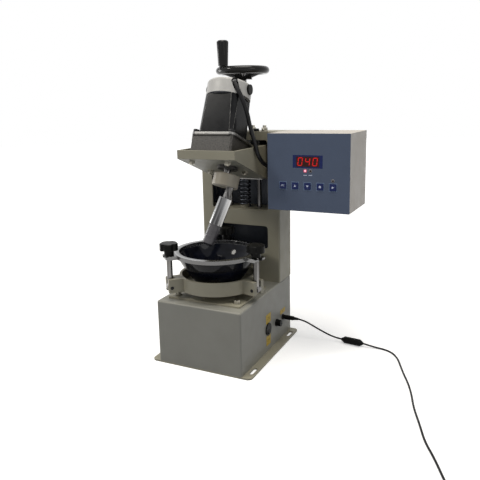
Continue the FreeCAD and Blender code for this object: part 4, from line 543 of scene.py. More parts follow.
def piece(name, mesh, finish_name, body, place=None, smooth=True):
    """A new piece from a mesh or bmesh, riding on a CAD body."""
    if isinstance(mesh, bmesh.types.BMesh):
        mesh = mesh_from(mesh, name)
    if smooth:
        softened(mesh, PIECE_SHARP)
    if not mesh.materials:
        mesh.materials.append(finish(finish_name))
    made = linked(name, mesh)
    if place is not None:
        made.matrix_world = place
    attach(made, body)
    return made


def fasten(name, mesh, finish_name, body, places):
    """The same small fastener at several places."""
    for i, place in enumerate(places, start=1):
        piece(f"{name}_{i}", mesh, finish_name, body, place)


def walled(bm, front, back):
    """Walls between two outlines of as many points."""
    for i in range(len(front)):
        j = (i + 1) % len(front)
        bm.faces.new((front[i], front[j], back[j], back[i]))


def lathe(profile, segments, bm=None, place=None):
    """A turned form from (radius, height) points; a radius of zero closes on the axis."""
    bm = bm or bmesh.new()
    rings = []
    for radius, height in profile:
        if radius == 0:
            rings.append([bm.verts.new((0, 0, height))])
            continue
        rings.append([bm.verts.new((radius * math.cos(math.tau * i / segments),
                                    radius * math.sin(math.tau * i / segments), height))
                      for i in range(segments)])
    for lower, upper in zip(rings, rings[1:]):
        for i in range(segments):
            after = (i + 1) % segments
            corners = [lower[i % len(lower)], lower[after % len(lower)],
                       upper[after % len(upper)], upper[i % len(upper)]]
            distinct = list(dict.fromkeys(corners))
            if len(distinct) > 2:
                bm.faces.new(distinct)
    if place is not None:
        bmesh.ops.transform(bm, matrix=place, verts=[v for ring in rings for v in ring])
    return bm


def rounded(profile, radius, steps=3):
    """The profile with its inner corners rounded."""
    points = [Vector(p) for p in profile]
    out = [points[0]]
    for before, here, after in zip(points, points[1:], points[2:]):
        back, ahead = before - here, after - here
        trim = min(radius, back.length * 0.45, ahead.length * 0.45)
        start, end = here + back.normalized() * trim, here + ahead.normalized() * trim
        for step in range(steps + 1):
            t = step / steps
            out.append(start * (1 - t) ** 2 + here * 2 * t * (1 - t) + end * t * t)
    out.append(points[-1])
    return [tuple(p) for p in out]


def bevelled(bm, edges, width):
    if width:
        bmesh.ops.bevel(bm, geom=edges, offset=width, segments=2, profile=0.5, affect="EDGES")
    return bm


def slab(bm, low, high, bevel=0.0):
    """A block with rounded edges."""
    low, high = Vector(low), Vector(high)
    made = bmesh.ops.create_cube(bm, size=1.0)["verts"]
    bmesh.ops.transform(bm, verts=made, matrix=Matrix.Translation((low + high) / 2)
                        @ Matrix.Diagonal((*(high - low), 1)))
    return bevelled(bm, list({edge for vert in made for edge in vert.link_edges}), bevel)


def prism(sides, radius, low, high, chamfer=0.0):
    """A regular prism along local Z, its two ends lightly chamfered."""
    bm = bmesh.new()
    made = bmesh.ops.create_cone(bm, cap_ends=True, segments=sides, radius1=radius,
                                 radius2=radius, depth=high - low)["verts"]
    rims = [edge for edge in {e for v in made for e in v.link_edges}
            if abs(edge.verts[0].co.z - edge.verts[1].co.z) < 1e-9]
    bmesh.ops.transform(bm, matrix=Matrix.Translation((0, 0, (low + high) / 2)), verts=made)
    return bevelled(bm, rims, chamfer)


def carved(name, base, tool):
    """The mesh of base with tool cut out of it."""
    body, cutter = (linked(f"{name}_{label}", mesh_from(bm, f"{name}_{label}"))
                    for label, bm in (("base", base), ("tool", tool)))
    cut = body.modifiers.new("cut", "BOOLEAN")
    cut.operation = "DIFFERENCE"
    cut.solver = "EXACT"
    cut.object = cutter
    mesh = evaluated(body, name)
    bpy.data.objects.remove(cutter)
    return mesh


def cross_screw(radius):
    """A pan head with a cross recess, seated on the local XY plane."""
    head = lathe(rounded([(0, -0.2 * radius), (radius, -0.2 * radius), (radius, 0.25 * radius),
                          (0.62 * radius, 0.62 * radius), (0, 0.68 * radius)], 0.3 * radius),
                 24)
    arm, width, floor = 0.55 * radius, 0.13 * radius, 0.28 * radius
    tool = slab(bmesh.new(), (-arm, -width, floor), (arm, width, radius))
    slab(tool, (-width, -arm, floor), (width, arm, radius))
    return carved("cross_screw", head, tool)


def socket_screw(radius, height):
    """A cap screw head with a hexagon socket, seated on the local XY plane."""
    head = lathe(rounded([(0, 0), (radius, 0), (radius, height), (0.7 * radius, height),
                          (0, height)], 0.12 * radius), 40)
    return carved("socket_screw", head, prism(6, 0.55 * radius, 0.4 * height, 1.5 * height))


def nurbs(name, points, width, finish_name):
    """A round cord whose line is a smooth spline over given points."""
    curve = bpy.data.curves.new(name, "CURVE")
    curve.dimensions = "3D"
    spline = curve.splines.new("NURBS")
    spline.points.add(len(points) - 1)
    for spot, where in zip(spline.points, points):
        spot.co = (*where, 1.0)
    spline.order_u = 3
    spline.use_endpoint_u = True
    spline.resolution_u = 12
    curve.bevel_depth = width / 2
    curve.bevel_resolution = 5
    curve.use_fill_caps = True
    curve.materials.append(finish(finish_name))
    return linked(name, curve)


def as_mesh(made, name):
    """Turn a curve into a mesh piece of its own."""
    mesh = evaluated(made, name)
    mesh.shade_smooth()
    solid = linked(name, mesh)
    return solid


def on_coil(centre, radius, angle, height):
    """A control point a little outside a circle, so that the spline itself lies on it."""
    swell = radius / math.cos(math.pi / PER_TURN) ** 0.5
    return Vector((centre.x + swell * math.cos(angle), centre.y + swell * math.sin(angle),
                   height))


# Operators

class Maker:
    """Dresses the CAD nodes in NODES, names split by spaces, then makes new pieces."""
    NODES = {}

    def execute(self, context):
        for finish_name, names in self.NODES.items():
            dress(finish_name, *names.split())
        self.make()
        return {"FINISHED"}

    def make(self):
        """Nothing new, unless the operator says otherwise."""


class LABMILL_OT_stage(Maker, bpy.types.Operator):
    """Floor, surroundings, lamps and the camera at the photograph's viewing angle"""
    bl_idname = "labmill.stage"
    bl_label = "Stage"

    WARM, PLAIN = (1.0, 0.965, 0.90), (1.0, 0.985, 0.96)
    LAMPS = (  # name, place, width, power in watts, tint
        ("top_lamp", (0.15, -0.15, 1.75), 1.1, 20.0, WARM),
        ("key_lamp", (-1.2, -1.25, 1.75), 0.5, 17.0, WARM),
        ("right_lamp", (1.7, -0.6, 1.1), 0.9, 5.0, PLAIN),
        ("left_lamp", (-1.6, 0.05, 0.35), 0.6, 7.0, PLAIN))
    LAMPS_AIM = (0.0, 0.0, 0.25)
    FLOOR_RADIUS, FLOOR_SIDES = 6.0, 64
    AMBIENT = 0.26  # how strongly the surroundings light the mill, against 1.0 where seen
    EYE = (0.46118, -0.87751, 0.45479)
    HEADING, TILT, ROLL = 26.17, 11.31, -1.23  # degrees
    IMAGE_SIDE, FOCAL, CENTRE_X, CENTRE_Y = 480, 551.77, 240.5, 213.0  # pixels
    SENSOR = 36.0  # mm
    NEAREST = 0.01

    def make(self):
        scene = bpy.context.scene
        scene.view_settings.view_transform = "Standard"
        self.floor()
        self.surroundings(scene)
        for lamp in self.LAMPS:
            self.lamp(*lamp)
        self.camera(scene)

    def floor(self):
        bm = bmesh.new()
        bmesh.ops.create_circle(bm, cap_ends=True, segments=self.FLOOR_SIDES,
                                radius=self.FLOOR_RADIUS)
        ground = linked("floor", mesh_from(bm, "floor", outward=False))
        ground.data.materials.append(finish("floor_white"))

    def surroundings(self, scene):
        world = bpy.data.worlds.new("studio")
        scene.world = world
        world.use_nodes = True
        nodes, links = world.node_tree.nodes, world.node_tree.links
        background = nodes["Background"]
        background.inputs["Color"].default_value = (1, 1, 1, 1)
        level = nodes.new("ShaderNodeMapRange")
        level.inputs["To Min"].default_value = self.AMBIENT
        level.inputs["To Max"].default_value = 1.0
        links.new(seen_directly(nodes, links), level.inputs["Value"])
        links.new(level.outputs["Result"], background.inputs["Strength"])

    def lamp(self, name, place, width, power, tint):
        light = bpy.data.lights.new(name, "AREA")
        light.shape = "DISK"
        light.color = tint
        light.size = width
        light.energy = power
        aim = Vector(self.LAMPS_AIM) - Vector(place)
        linked(name, light).matrix_world = Matrix.Translation(place) @ aim.to_track_quat(
            "-Z", "Y").to_matrix().to_4x4()

    def camera(self, scene):
        data = bpy.data.cameras.new("camera")
        data.sensor_width = self.SENSOR
        data.lens = self.FOCAL / self.IMAGE_SIDE * data.sensor_width
        data.shift_x = (self.IMAGE_SIDE / 2 - self.CENTRE_X) / self.IMAGE_SIDE
        data.shift_y = (self.CENTRE_Y - self.IMAGE_SIDE / 2) / self.IMAGE_SIDE
        data.clip_start = self.NEAREST
        place = Matrix.Translation(self.EYE)
        for angle, axis in ((self.HEADING, "Z"), (90 - self.TILT, "X"), (self.ROLL, "Z")):
            place @= Matrix.Rotation(math.radians(angle), 4, axis)
        scene.camera = linked("camera", data)
        scene.camera.matrix_world = place


class LABMILL_OT_supply_lead(Maker, bpy.types.Operator):
    """Supply plug, lead, ferrite bead, put-away coil and mains adapter"""
    bl_idname = "labmill.supply_lead"
    bl_label = "Supply lead"

    NODES = {"black_moulding": "supply_plug mains_adapter ferrite_bead"}
    TO_BEAD = (  # mm
        (115.05, 71.3, 42.5), (127.0, 71.6, 41.0), (142.0, 76.6, 31.6), (158.0, 81.8, 21.6),
        (173.0, 86.6, 13.4), (184.5, 90.6, 8.6), (194.0, 92.6, 6.9))
    TO_COIL = (  # mm
        (237.2, 88.4, 6.9), (247.5, 88.5, 5.2), (261.0, 90.9, 2.2), (277.5, 89.6, 1.7),
        (293.0, 80.6, 1.7), (305.0, 62.6, 1.7), (314.2, 37.6, 1.7), (324.4, 9.5, 1.7),
        (337.0, -20.5, 1.7), (347.6, -54.0, 1.7), (356.5, -91.5, 1.7), (370.6, -131.0, 1.7),
        (383.0, -170.5, 1.7), (399.5, -203.0, 1.7), (415.3, -240.5, 1.7), (431.2, -277.3, 1.7))
    INNER, PITCH = 13.9, 4.1  # mm
    TURNS_IN, CLIMB, TURNS_OUT = 2.5, 0.5, 2.25

    def make(self):
        width = sizes().cord_width
        lead = nurbs("lead_to_bead", in_mm(self.TO_BEAD), width, "cord_jacket")
        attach(lead, "stand")
        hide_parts("supply_lead")
        line = in_mm(self.TO_COIL) + self.coil()
        rest = nurbs("lead_to_adapter", line, width, "cord_jacket")
        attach(rest, "stand")
        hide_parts("bench_lead", "lead_coil")

    def coil(self):
        """Points of the coil: in on the bench, up half a turn, and out on top."""
        before, entry = (Vector(p) for p in self.TO_COIL[-2:])
        way = (entry - before).normalized()
        inward = Vector((way.y, -way.x, 0))
        outer = self.INNER + self.PITCH * self.TURNS_IN
        width = sizes().cord_width / MM
        centre = entry + way * width + inward * outer
        phase = math.atan2(-inward.y, -inward.x)
        climbed = self.TURNS_IN + self.CLIMB
        spots = []
        for step in range(int((climbed + self.TURNS_OUT) * PER_TURN) + 1):
            turn = step / PER_TURN
            radius, height = self.INNER, (turn - self.TURNS_IN) / self.CLIMB * self.PITCH
            if turn <= self.TURNS_IN:
                radius, height = outer - self.PITCH * turn, 0.0
            elif turn >= climbed:
                radius, height = self.INNER + self.PITCH * (turn - climbed), self.PITCH
            spots.append(on_coil(centre, radius, phase - math.tau * turn, entry.z + height))
        radial = spots[-1] - centre
        out = Vector((radial.y, -radial.x, 0)).normalized()
        spots.append(spots[-1] + out * width)
        return in_mm(spots)


class LABMILL_OT_motor_lead(Maker, bpy.types.Operator):
    """Motor lead from the end cap to its gland in the control box"""
    bl_idname = "labmill.motor_lead"
    bl_label = "Motor lead"

    ROUTE = (  # mm
        (23.6, 0.5, 490.4), (38.0, -7.6, 470.0), (45.8, 1.5, 441.0), (48.2, 9.0, 410.0),
        (59.0, 5.5, 383.0), (62.5, 9.0, 361.0), (65.5, 35.0, 341.0), (78.4, 48.0, 335.4))

    def make(self):
        points = in_mm(self.ROUTE)
        lead = as_mesh(nurbs("motor_lead", points, sizes().motor_lead_width, "cord_jacket"),
                       "motor_lead")
        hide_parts("motor_cable")
        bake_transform(lead)


class LABMILL_OT_base(Maker, bpy.types.Operator):
    """Base plate, housing and the turntable's gearmotor"""
    bl_idname = "labmill.base"
    bl_label = "Base"

    NODES = {"frame_paint": "base_plate", "base_paint": "base_housing",
             "black_oxide": "mortar_gearmotor"}


class LABMILL_OT_column(Maker, bpy.types.Operator):
    """Column, rear cover, top plate with its screws, spring shelf and guide rods"""
    bl_idname = "labmill.column"
    bl_label = "Column"

    NODES = {"column_paint": "column_shell column_back_cover",
             "frame_paint": "column_top_plate spring_shelf", "steel": "guide_rods"}
    FRONT = 5 * MM  # from the top plate's front edge to its socket screws
    NUTS = ((24, 7), (50, 1))  # mm to either side, and behind the socket screws
    CAP_SCREWS = (-34, 34)  # mm from the middle
    CAP_HEIGHT = 5 * MM
    WASHER, NUT, BOLT = 1.4 * MM, 6.8 * MM, 11 * MM  # tops, over the plate
    WASHER_SHARE, BOLT_SHARE = 1.15, 0.6  # radii against the nut's
    WASHER_ROUND, NUT_EDGE, BOLT_ROUND = 0.3 * MM, 0.5 * MM, 0.6 * MM
    COVER_INSET = 9 * MM

    def make(self):
        self.plate_screws()
        self.cover_screws()

    def plate_screws(self):
        """Hexagon nuts on bolt ends and socket screws in the top plate."""
        low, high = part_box("column_top_plate")
        nut = sizes().plate_screw
        washer, bolt = nut * self.WASHER_SHARE, nut * self.BOLT_SHARE
        bm = prism(6, nut, self.WASHER, self.NUT, self.NUT_EDGE)
        lathe(rounded([(0, 0), (washer, 0), (washer, self.WASHER), (0, self.WASHER)],
                      self.WASHER_ROUND), 40, bm)
        lathe(rounded([(bolt, self.NUT), (bolt, self.BOLT), (0, self.BOLT)], self.BOLT_ROUND),
              24, bm)
        front = low.y + self.FRONT
        fasten("plate_screw", mesh_from(bm, "plate_screw"), "zinc_plate", "stand",
               [Matrix.Translation((side * x * MM, front + y * MM, high.z))
                for side in (-1, 1) for x, y in self.NUTS])
        fasten("plate_cap_screw", socket_screw(sizes().cap_screw, self.CAP_HEIGHT),
               "black_oxide", "stand",
               [Matrix.Translation((x * MM, front, high.z)) for x in self.CAP_SCREWS])

    def cover_screws(self):
        low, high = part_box("column_back_cover")
        inset = self.COVER_INSET
        places = [frame_of((x, high.y, z), (0, 1, 0))
                  for x in (low.x + inset, high.x - inset)
                  for z in (low.z + inset, (low.z + high.z) / 2, high.z - inset)]
        fasten("cover_screw", cross_screw(sizes().screw_head), "zinc_plate", "stand",
               places)


class LABMILL_OT_spring(Maker, bpy.types.Operator):
    """Pressure spring between the shelf and the carriage"""
    bl_idname = "labmill.spring"
    bl_label = "Pressure spring"

    def make(self):
        low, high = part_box("pressure_spring")
        wire, steps = sizes().wire, sizes().spring_turns * PER_TURN
        radius = (high.x - low.x - wire) / 2
        middle = (low + high) / 2
        bottom, top = low.z + wire / 2, high.z - wire / 2
        points = [on_coil(middle, radius, math.tau * step / PER_TURN,
                          bottom + (top - bottom) * step / steps) for step in range(steps + 1)]
        coil = as_mesh(nurbs("spring_coil", points, wire, "spring_wire"), "spring_coil")
        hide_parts("pressure_spring")
        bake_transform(coil)


class LABMILL_OT_carriage(Maker, bpy.types.Operator):
    """Carriage block and motor tray"""
    bl_idname = "labmill.carriage"
    bl_label = "Carriage"

    NODES = {"machined_aluminium": "carriage_block", "frame_paint": "motor_tray"}


class LABMILL_OT_drive_motor(Maker, bpy.types.Operator):
    """Gearbox, flange, motor, end cap, brush caps and their screws"""
    bl_idname = "labmill.drive_motor"
    bl_label = "Drive motor"

    NODES = {"motor_paint": "motor_body", "gearbox_cast": "drive_gearbox",
             "drive_flange": "gearbox_flange", "cast_grey": "motor_cap",
             "black_moulding": "brush_caps", "zinc_plate": "gearbox_bolts"}
    FLANGE_TOP = 51.5  # mm over the drive's foot, along its axis
    SCREW_SPREAD = 34.8  # mm from the axis, both ways
    HEAD_OVER, HEAD_HEIGHT = 0.15 * MM, 5.3 * MM  # so that they hide the plain heads
    GROMMET = ((4.9, -2.0), (7.0, -2.0), (6.8, 1.6), (5.3, 2.2), (4.9, 1.0))  # mm
    GROMMET_ROUND = 0.8 * MM
    OUTWARD, ALONG = 0.75, 0.45  # how the grommet leans between the cap's face and the lead

    def make(self):
        self.flange_screws()
        self.grommet()

    def flange_screws(self):
        """Black socket heads, fitted over the plain heads on the flange."""
        foot = DRIVE_FOOT + DRIVE_AXIS * self.FLANGE_TOP * MM
        side = Vector((1, 0, 0))
        slope = DRIVE_AXIS.cross(side)
        spread = self.SCREW_SPREAD
        places = [frame_of(foot + side * x * spread * MM + slope * y * spread * MM, DRIVE_AXIS)
                  for x in (-1, 1) for y in (-1, 1)]
        fasten("flange_screw", socket_screw(sizes().cap_screw + self.HEAD_OVER,
                                            self.HEAD_HEIGHT),
               "black_oxide", "carriage", places)

    def grommet(self):
        """Rubber ring where the motor lead leaves the end cap."""
        mouth, after = in_mm(LABMILL_OT_motor_lead.ROUTE[:2])
        along = (after - mouth).normalized()
        middle = DRIVE_FOOT + DRIVE_AXIS * (mouth - DRIVE_FOOT).dot(DRIVE_AXIS)
        outward = (mouth - middle).normalized()
        profile = [(radius * MM, height * MM) for radius, height in self.GROMMET]
        ring = lathe(rounded(profile, self.GROMMET_ROUND) + profile[:1], 40)
        piece("lead_grommet", ring, "black_moulding", "carriage",
              frame_of(mouth, outward * self.OUTWARD + along * self.ALONG))


class LABMILL_OT_drive_head(Maker, bpy.types.Operator):
    """Output shaft, drive hub and the slanting pestle"""
    bl_idname = "labmill.drive_head"
    bl_label = "Drive head and pestle"

    NODES = {"hub_paint": "drive_hub", "steel": "output_shaft pestle_shaft",
             "polished_steel": "pestle_sleeve", "pestle_agate": "agate_pestle"}


class LABMILL_OT_turntable(Maker, bpy.types.Operator):
    """Seat plate, bearing, spindle, cup, agate mortar and clamp ring"""
    bl_idname = "labmill.turntable"
    bl_label = "Mortar turntable"

    NODES = {"frame_paint": "mortar_seat_plate spindle_bearing mortar_cup",
             "zinc_plate": "seat_plate_bolts", "steel": "turntable_spindle",
             "black_oxide": "clamp_pins", "turned_ring": "clamp_ring"}
    RIM, FOOT, MOUTH, BALL = 71.5, 40, 66, 71  # mm, radii; the hollow is part of the ball
    FOOT_CUT, FOOT_RISE, WALL_SHORT = 3 * MM, 2 * MM, 4 * MM
    RIM_OUT, RIM_ROUND, MOUTH_ROUND = 0.4 * MM, 0.6 * MM, 0.9 * MM
    BULGE = 2.2 * MM  # of the wall past a straight flare
    WALL_STEPS, BOWL_STEPS, SIDES = 12, 24, 96

    def make(self):
        """The agate bowl: a straight flare from its foot to a rim that the ring holds down."""
        low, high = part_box("agate_mortar")
        rim, foot, mouth, ball = (r * MM for r in (self.RIM, self.FOOT, self.MOUTH, self.BALL))
        outside = [(0, low.z), (foot - self.FOOT_CUT, low.z), (foot, low.z + self.FOOT_RISE)]
        for step in range(1, self.WALL_STEPS + 1):
            t = step / self.WALL_STEPS
            swell = self.BULGE * math.sin(math.pi * t)
            outside.append((foot + (rim - foot) * t + swell,
                            low.z + self.FOOT_RISE
                            + (high.z - self.WALL_SHORT - low.z) * t))
        outside += [(rim + self.RIM_OUT, high.z - self.RIM_ROUND),
                    (rim - self.RIM_ROUND, high.z)]
        centre = high.z + math.sqrt(ball * ball - mouth * mouth)
        start = math.asin(mouth / ball)
        inside = [(mouth + self.MOUTH_ROUND, high.z)]
        for step in range(self.BOWL_STEPS):
            angle = start * (1 - step / self.BOWL_STEPS)
            inside.append((ball * math.sin(angle), centre - ball * math.cos(angle)))
        inside.append((0, centre - ball))
        bowl = lathe(outside + inside, self.SIDES, place=Matrix.Translation(
            (MORTAR_PLACE.x, MORTAR_PLACE.y, 0)))
        made = piece("agate_bowl", bowl, "agate", "turntable")
        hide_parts("agate_mortar")


class LABMILL_OT_clamps(Maker, bpy.types.Operator):
    """Three swing rods with star knobs"""
    bl_idname = "labmill.clamps"
    bl_label = "Clamps"

    NODES = {"steel": "clamp_rod_1 clamp_rod_2 clamp_rod_3",
             "black_moulding": "star_knob_1 star_knob_2 star_knob_3"}


class LABMILL_OT_lift(Maker, bpy.types.Operator):
    """Lead screw, handwheel and revolving grip"""
    bl_idname = "labmill.lift"
    bl_label = "Lift"

    NODES = {"lead_thread": "lead_screw", "gloss_black": "handwheel handle_grip"}


class LABMILL_OT_control_box(Maker, bpy.types.Operator):
    """Control box shell, panel, board, keys, display and lamps"""
    bl_idname = "labmill.control_box"
    bl_label = "Control box"

    NODES = {"box_paint": "control_box_shell", "panel_film": "control_panel",
             "navy_moulding": "display_window key_1 key_2 key_3 key_4 key_5",
             "board_green": "control_board"}
    SEGMENTS = {"0": "abcdef", "4": "bcfg"}
    READING = "040"
    LENS_PROUD, LENS_SUNK, LENS_ROUND = 0.15 * MM, 0.3 * MM, 0.1 * MM
    DIGITS_PROUD, BAR_HALF = 0.2 * MM, 0.05 * MM  # half a lit bar's thickness
    DIGIT_SHAPE = 0.56  # width against height
    LEAN = 0.12  # to the right, against height
    SEGMENT_GAP = 0.25 * MM
    SIGNS = {  # outlines on the keys, mm right and up of the middle
        1: (((-3, 1.4), (3, 1.4), (3, 0.6), (-3, 0.6)),
            ((-3, -0.6), (3, -0.6), (3, -1.4), (-3, -1.4))),
        2: (((-2.2, -1.6), (2.2, -1.6), (0, 2.2)),),
        3: (((-2.2, 1.6), (0, -2.2), (2.2, 1.6)),),
        4: (((-1.8, 1.8), (1.8, 1.8), (1.8, -1.8), (-1.8, -1.8)),),
        5: (((-1.6, 2.2), (2.2, 0), (-1.6, -2.2)),)}
    KEY_GAP = 0.3 * MM  # between a key and the border round it
    BORDER_FACE, BORDER_FOOT = 0.1, -0.02  # mm over the panel
    SIGN_FACE, SIGN_FOOT = 0.08, -0.05  # mm over a key
    LAMPS = (  # name, mm right, mm up, lens, rim
        ("lamp_left", 150.8, 339.0, "lit_lamp", "glowing_rim"),
        ("lamp_middle", 160.2, 339.1, "dark_lens", "pale_rim"),
        ("lamp_right", 199.4, 323.8, "dark_lens", "pale_rim"))
    UNMARKED = "lamp_right"
    LAMP_RADIUS = 1.5 * MM
    RIM = ((1.6, -0.5), (1.6, 0.5), (2.9, 0.35), (3.1, 0.05), (3.1, -0.5), (1.6, -0.5))  # mm
    BAR_DROP = 7.3  # mm from a lamp down to its bar
    BAR_LOW, BAR_HIGH, BAR_ROUND = (-3.0, -0.55, -0.02), (3.0, 0.55, 0.1), 0.03 * MM  # mm
    GLAND_RADIUS, GLAND_HEIGHT, GLAND_EDGE = 8.6 * MM, 2.4 * MM, 0.4 * MM
    GLAND_HOLE, GLAND_TOOL = 4.3 * MM, (-2 * MM, 6 * MM)
    GLAND_BACK, GLAND_DOWN = 0.9 * MM, 0.3 * MM  # from the lead's last point

    def make(self):
        self.lens()
        self.digits()
        self.lamps()
        self.key_prints()
        self.gland()

    def lens(self):
        """The dark window inside the display's navy border."""
        s = sizes()
        low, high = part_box("display_window")
        pane = slab(bmesh.new(),
                    (low.x + s.lens_inset, low.y - self.LENS_PROUD, low.z + s.lens_margin),
                    (high.x - s.lens_inset, low.y + self.LENS_SUNK, high.z - s.lens_margin),
                    self.LENS_ROUND)
        piece("display_lens", pane, "smoked_window", "stand", smooth=False)

    def digits(self):
        low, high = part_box("display_window")
        middle = (low + high) / 2
        low.y -= self.DIGITS_PROUD
        pitch = sizes().digit_pitch
        start = middle.x - pitch * (len(self.READING) - 1) / 2
        lit, unlit = bmesh.new(), bmesh.new()
        for index, sign in enumerate(self.READING):
            centre = Vector((start + index * pitch, low.y, middle.z))
            for name in "abcdefg":
                target = lit if name in self.SEGMENTS[sign] else unlit
                self.segment(target, centre, name)
        piece("digits_lit", lit, "lit_red", "stand", smooth=False)
        piece("digits_unlit", unlit, "unlit_red", "stand", smooth=False)

    def segment(self, bm, centre, name):
        """One hexagonal bar of a seven-segment digit, a hair proud of the window."""
        s = sizes()
        wide, tall = s.digit_height * self.DIGIT_SHAPE, s.digit_height / 2
        half = s.digit_stroke / 2
        x, z, upright = {
            "a": (0, tall, 0), "b": (wide / 2, tall / 2, 1), "c": (wide / 2, -tall / 2, 1),
            "d": (0, -tall, 0), "e": (-wide / 2, -tall / 2, 1), "f": (-wide / 2, tall / 2, 1),
            "g": (0, 0, 0)}[name]
        reach = (tall if upright else wide) / 2 - self.SEGMENT_GAP
        corners = ((-reach, 0), (half - reach, half), (reach - half, half), (reach, 0),
                   (reach - half, -half), (half - reach, -half))
        fronts, backs = [], []
        for along, across in corners:
            dx, dz = (across, along) if upright else (along, across)
            px, pz = x + dx + self.LEAN * (z + dz), z + dz
            for row, lift in ((fronts, -self.BAR_HALF), (backs, self.BAR_HALF)):
                row.append(bm.verts.new(centre + Vector((px, lift, pz))))
        bm.faces.new(fronts)
        walled(bm, fronts, backs)

    def lamps(self):
        """Three lamps in pale rims, the first one lit, with a bar printed under two."""
        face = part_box("control_panel")[0].y
        radius = self.LAMP_RADIUS
        for name, x, z, lens, rim in self.LAMPS:
            place = frame_of((x * MM, face, z * MM), (0, -1, 0))
            dome = lathe([(0, radius), (radius * 0.5, radius * 0.87), (radius * 0.87, radius / 2),
                          (radius, 0), (radius, -radius / 2), (0, -radius / 2)], 24)
            piece(name, dome, lens, "stand", place)
            ring = lathe([(out * MM, up * MM) for out, up in self.RIM], 32)
            piece(f"{name}_rim", ring, rim, "stand", place)
            if name != self.UNMARKED:
                bar = slab(bmesh.new(), *in_mm((self.BAR_LOW, self.BAR_HIGH)), self.BAR_ROUND)
                piece(f"{name}_bar", bar, "legend_white", "stand",
                      frame_of((x * MM, face, (z - self.BAR_DROP) * MM), (0, -1, 0)),
                      smooth=False)

    def key_prints(self):
        """A printed border round each key and a plain sign on its face."""
        width = sizes().key_border
        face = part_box("control_panel")[0].y
        for index, outlines in self.SIGNS.items():
            low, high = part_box(f"key_{index}")
            gap = self.KEY_GAP
            inner = (low.x - gap, low.z - gap, high.x + gap, high.z + gap)
            outer = (inner[0] - width, inner[1] - width, inner[2] + width, inner[3] + width)
            border = bmesh.new()
            rings = []
            for (x0, z0, x1, z1), lift in (
                    (outer, self.BORDER_FOOT), (outer, self.BORDER_FACE),
                    (inner, self.BORDER_FACE), (inner, self.BORDER_FOOT)):
                rings.append([border.verts.new((x, face - lift * MM, z))
                              for x, z in ((x0, z0), (x1, z0), (x1, z1), (x0, z1))])
            for ring, following in zip(rings, rings[1:] + rings[:1]):
                walled(border, ring, following)
            piece(f"key_border_{index}", border, "panel_print", "stand",
                  smooth=False)
            middle = (low + high) / 2
            sign = bmesh.new()
            for outline in outlines:
                front, back = ([sign.verts.new((middle.x + x * MM, low.y - lift * MM,
                                                middle.z + z * MM)) for x, z in outline]
                               for lift in (self.SIGN_FACE, self.SIGN_FOOT))
                sign.faces.new(front)
                sign.faces.new(back)
                walled(sign, front, back)
            piece(f"key_sign_{index}", sign, "legend_white", f"button_{index}",
                  smooth=False)

    def gland(self):
        """Gland where the motor lead enters the box's left wall."""
        end = Vector(LABMILL_OT_motor_lead.ROUTE[-1]) * MM
        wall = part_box("control_box_shell")[0].x
        ring = prism(6, self.GLAND_RADIUS, 0, self.GLAND_HEIGHT, self.GLAND_EDGE)
        nut = carved("gland_nut", ring, prism(32, self.GLAND_HOLE, *self.GLAND_TOOL))
        piece("lead_gland", nut, "black_moulding", "stand",
              frame_of((wall, end.y + self.GLAND_BACK, end.z - self.GLAND_DOWN), (-1, 0, 0),
                       (0, 1, 0)))


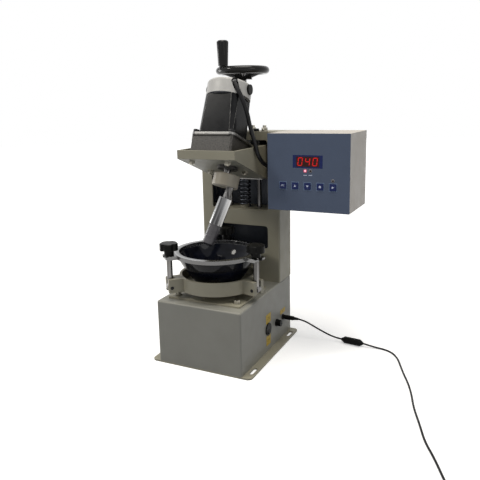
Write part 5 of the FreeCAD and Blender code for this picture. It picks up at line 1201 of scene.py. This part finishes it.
class LABMILL_OT_side_fittings(Maker, bpy.types.Operator):
    """Power switch, fuse holder, supply socket and their plates"""
    bl_idname = "labmill.side_fittings"
    bl_label = "Side fittings"

    NODES = {"black_moulding": "switch_body fuse_holder rocker fuse_cap",
             "black_oxide": "supply_socket"}
    PLATES = (  # name, place along Y, height, width, tallness in mm, word
        ("plate_switch_top", 0.3, 65.4, 21.5, 17.4, "ON"),
        ("plate_switch_low", 0.3, 23.4, 19.5, 18.6, "OFF"),
        ("plate_socket", 71.2, 54.6, 24.5, 9.0, "DC"))
    SUNK, PROUD, ROUND = 0.1 * MM, 0.25 * MM, 0.1 * MM
    WORD_HEIGHT, WORD_SHARE = 7.5 * MM, 0.7  # at most, and against the plate's
    WORD_PROUD, WORD_HALF = 0.24 * MM, 0.04 * MM  # half its thickness

    def make(self):
        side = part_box("base_housing")[1].x
        for name, y, z, wide, tall, word in self.PLATES:
            bm = slab(bmesh.new(), (-self.SUNK, -wide / 2 * MM, -tall / 2 * MM),
                      (self.PROUD, wide / 2 * MM, tall / 2 * MM), self.ROUND)
            piece(name, bm, "plate_yellow", "stand",
                  Matrix.Translation((side, y * MM, z * MM)), smooth=False)
            self.word(f"{name}_word", word, min(self.WORD_HEIGHT, tall * self.WORD_SHARE * MM),
                      Vector((side + self.WORD_PROUD, y * MM, z * MM)))

    def word(self, name, text, height, place):
        """Flat lettering that faces +X and reads along +Y."""
        curve = bpy.data.curves.new(name, "FONT")
        curve.body = text
        curve.size = height
        curve.align_x = curve.align_y = "CENTER"
        curve.extrude = self.WORD_HALF
        piece(name, evaluated(linked(name, curve), name), "legend_dark", "stand",
              frame_of(place, (1, 0, 0), (0, 1, 0)), smooth=False)


OPERATORS = (
    LABMILL_OT_stage, LABMILL_OT_supply_lead, LABMILL_OT_motor_lead, LABMILL_OT_base,
    LABMILL_OT_column, LABMILL_OT_spring, LABMILL_OT_carriage, LABMILL_OT_drive_motor,
    LABMILL_OT_drive_head, LABMILL_OT_turntable, LABMILL_OT_clamps, LABMILL_OT_lift,
    LABMILL_OT_control_box, LABMILL_OT_side_fittings)


class LABMILL_PT_pieces(bpy.types.Panel):
    """The mill's pieces, in the order in which they are made"""
    bl_label = "Lab Mill"
    bl_idname = "LABMILL_PT_pieces"
    bl_space_type = "VIEW_3D"
    bl_region_type = "UI"
    bl_category = "Lab Mill"

    def draw(self, context):
        for operator in OPERATORS:
            self.layout.operator(operator.bl_idname)
        for group in (context.scene.lab_mill_colours, context.scene.lab_mill_sizes):
            for name in group.bl_rna.properties.keys():
                if name not in ("rna_type", "name"):
                    self.layout.prop(group, name)


CLASSES = (LabMillColours, LabMillSizes, *OPERATORS, LABMILL_PT_pieces)


def register():
    for cls in CLASSES:
        bpy.utils.register_class(cls)
    bpy.types.Scene.lab_mill_colours = PointerProperty(type=LabMillColours)
    bpy.types.Scene.lab_mill_sizes = PointerProperty(type=LabMillSizes)


def unregister():
    del bpy.types.Scene.lab_mill_sizes
    del bpy.types.Scene.lab_mill_colours
    for cls in reversed(CLASSES):
        bpy.utils.unregister_class(cls)


def main():
    register()
    for operator in OPERATORS:
        group, name = operator.bl_idname.split(".")
        getattr(getattr(bpy.ops, group), name)()


if __name__ == "__main__":
    main()
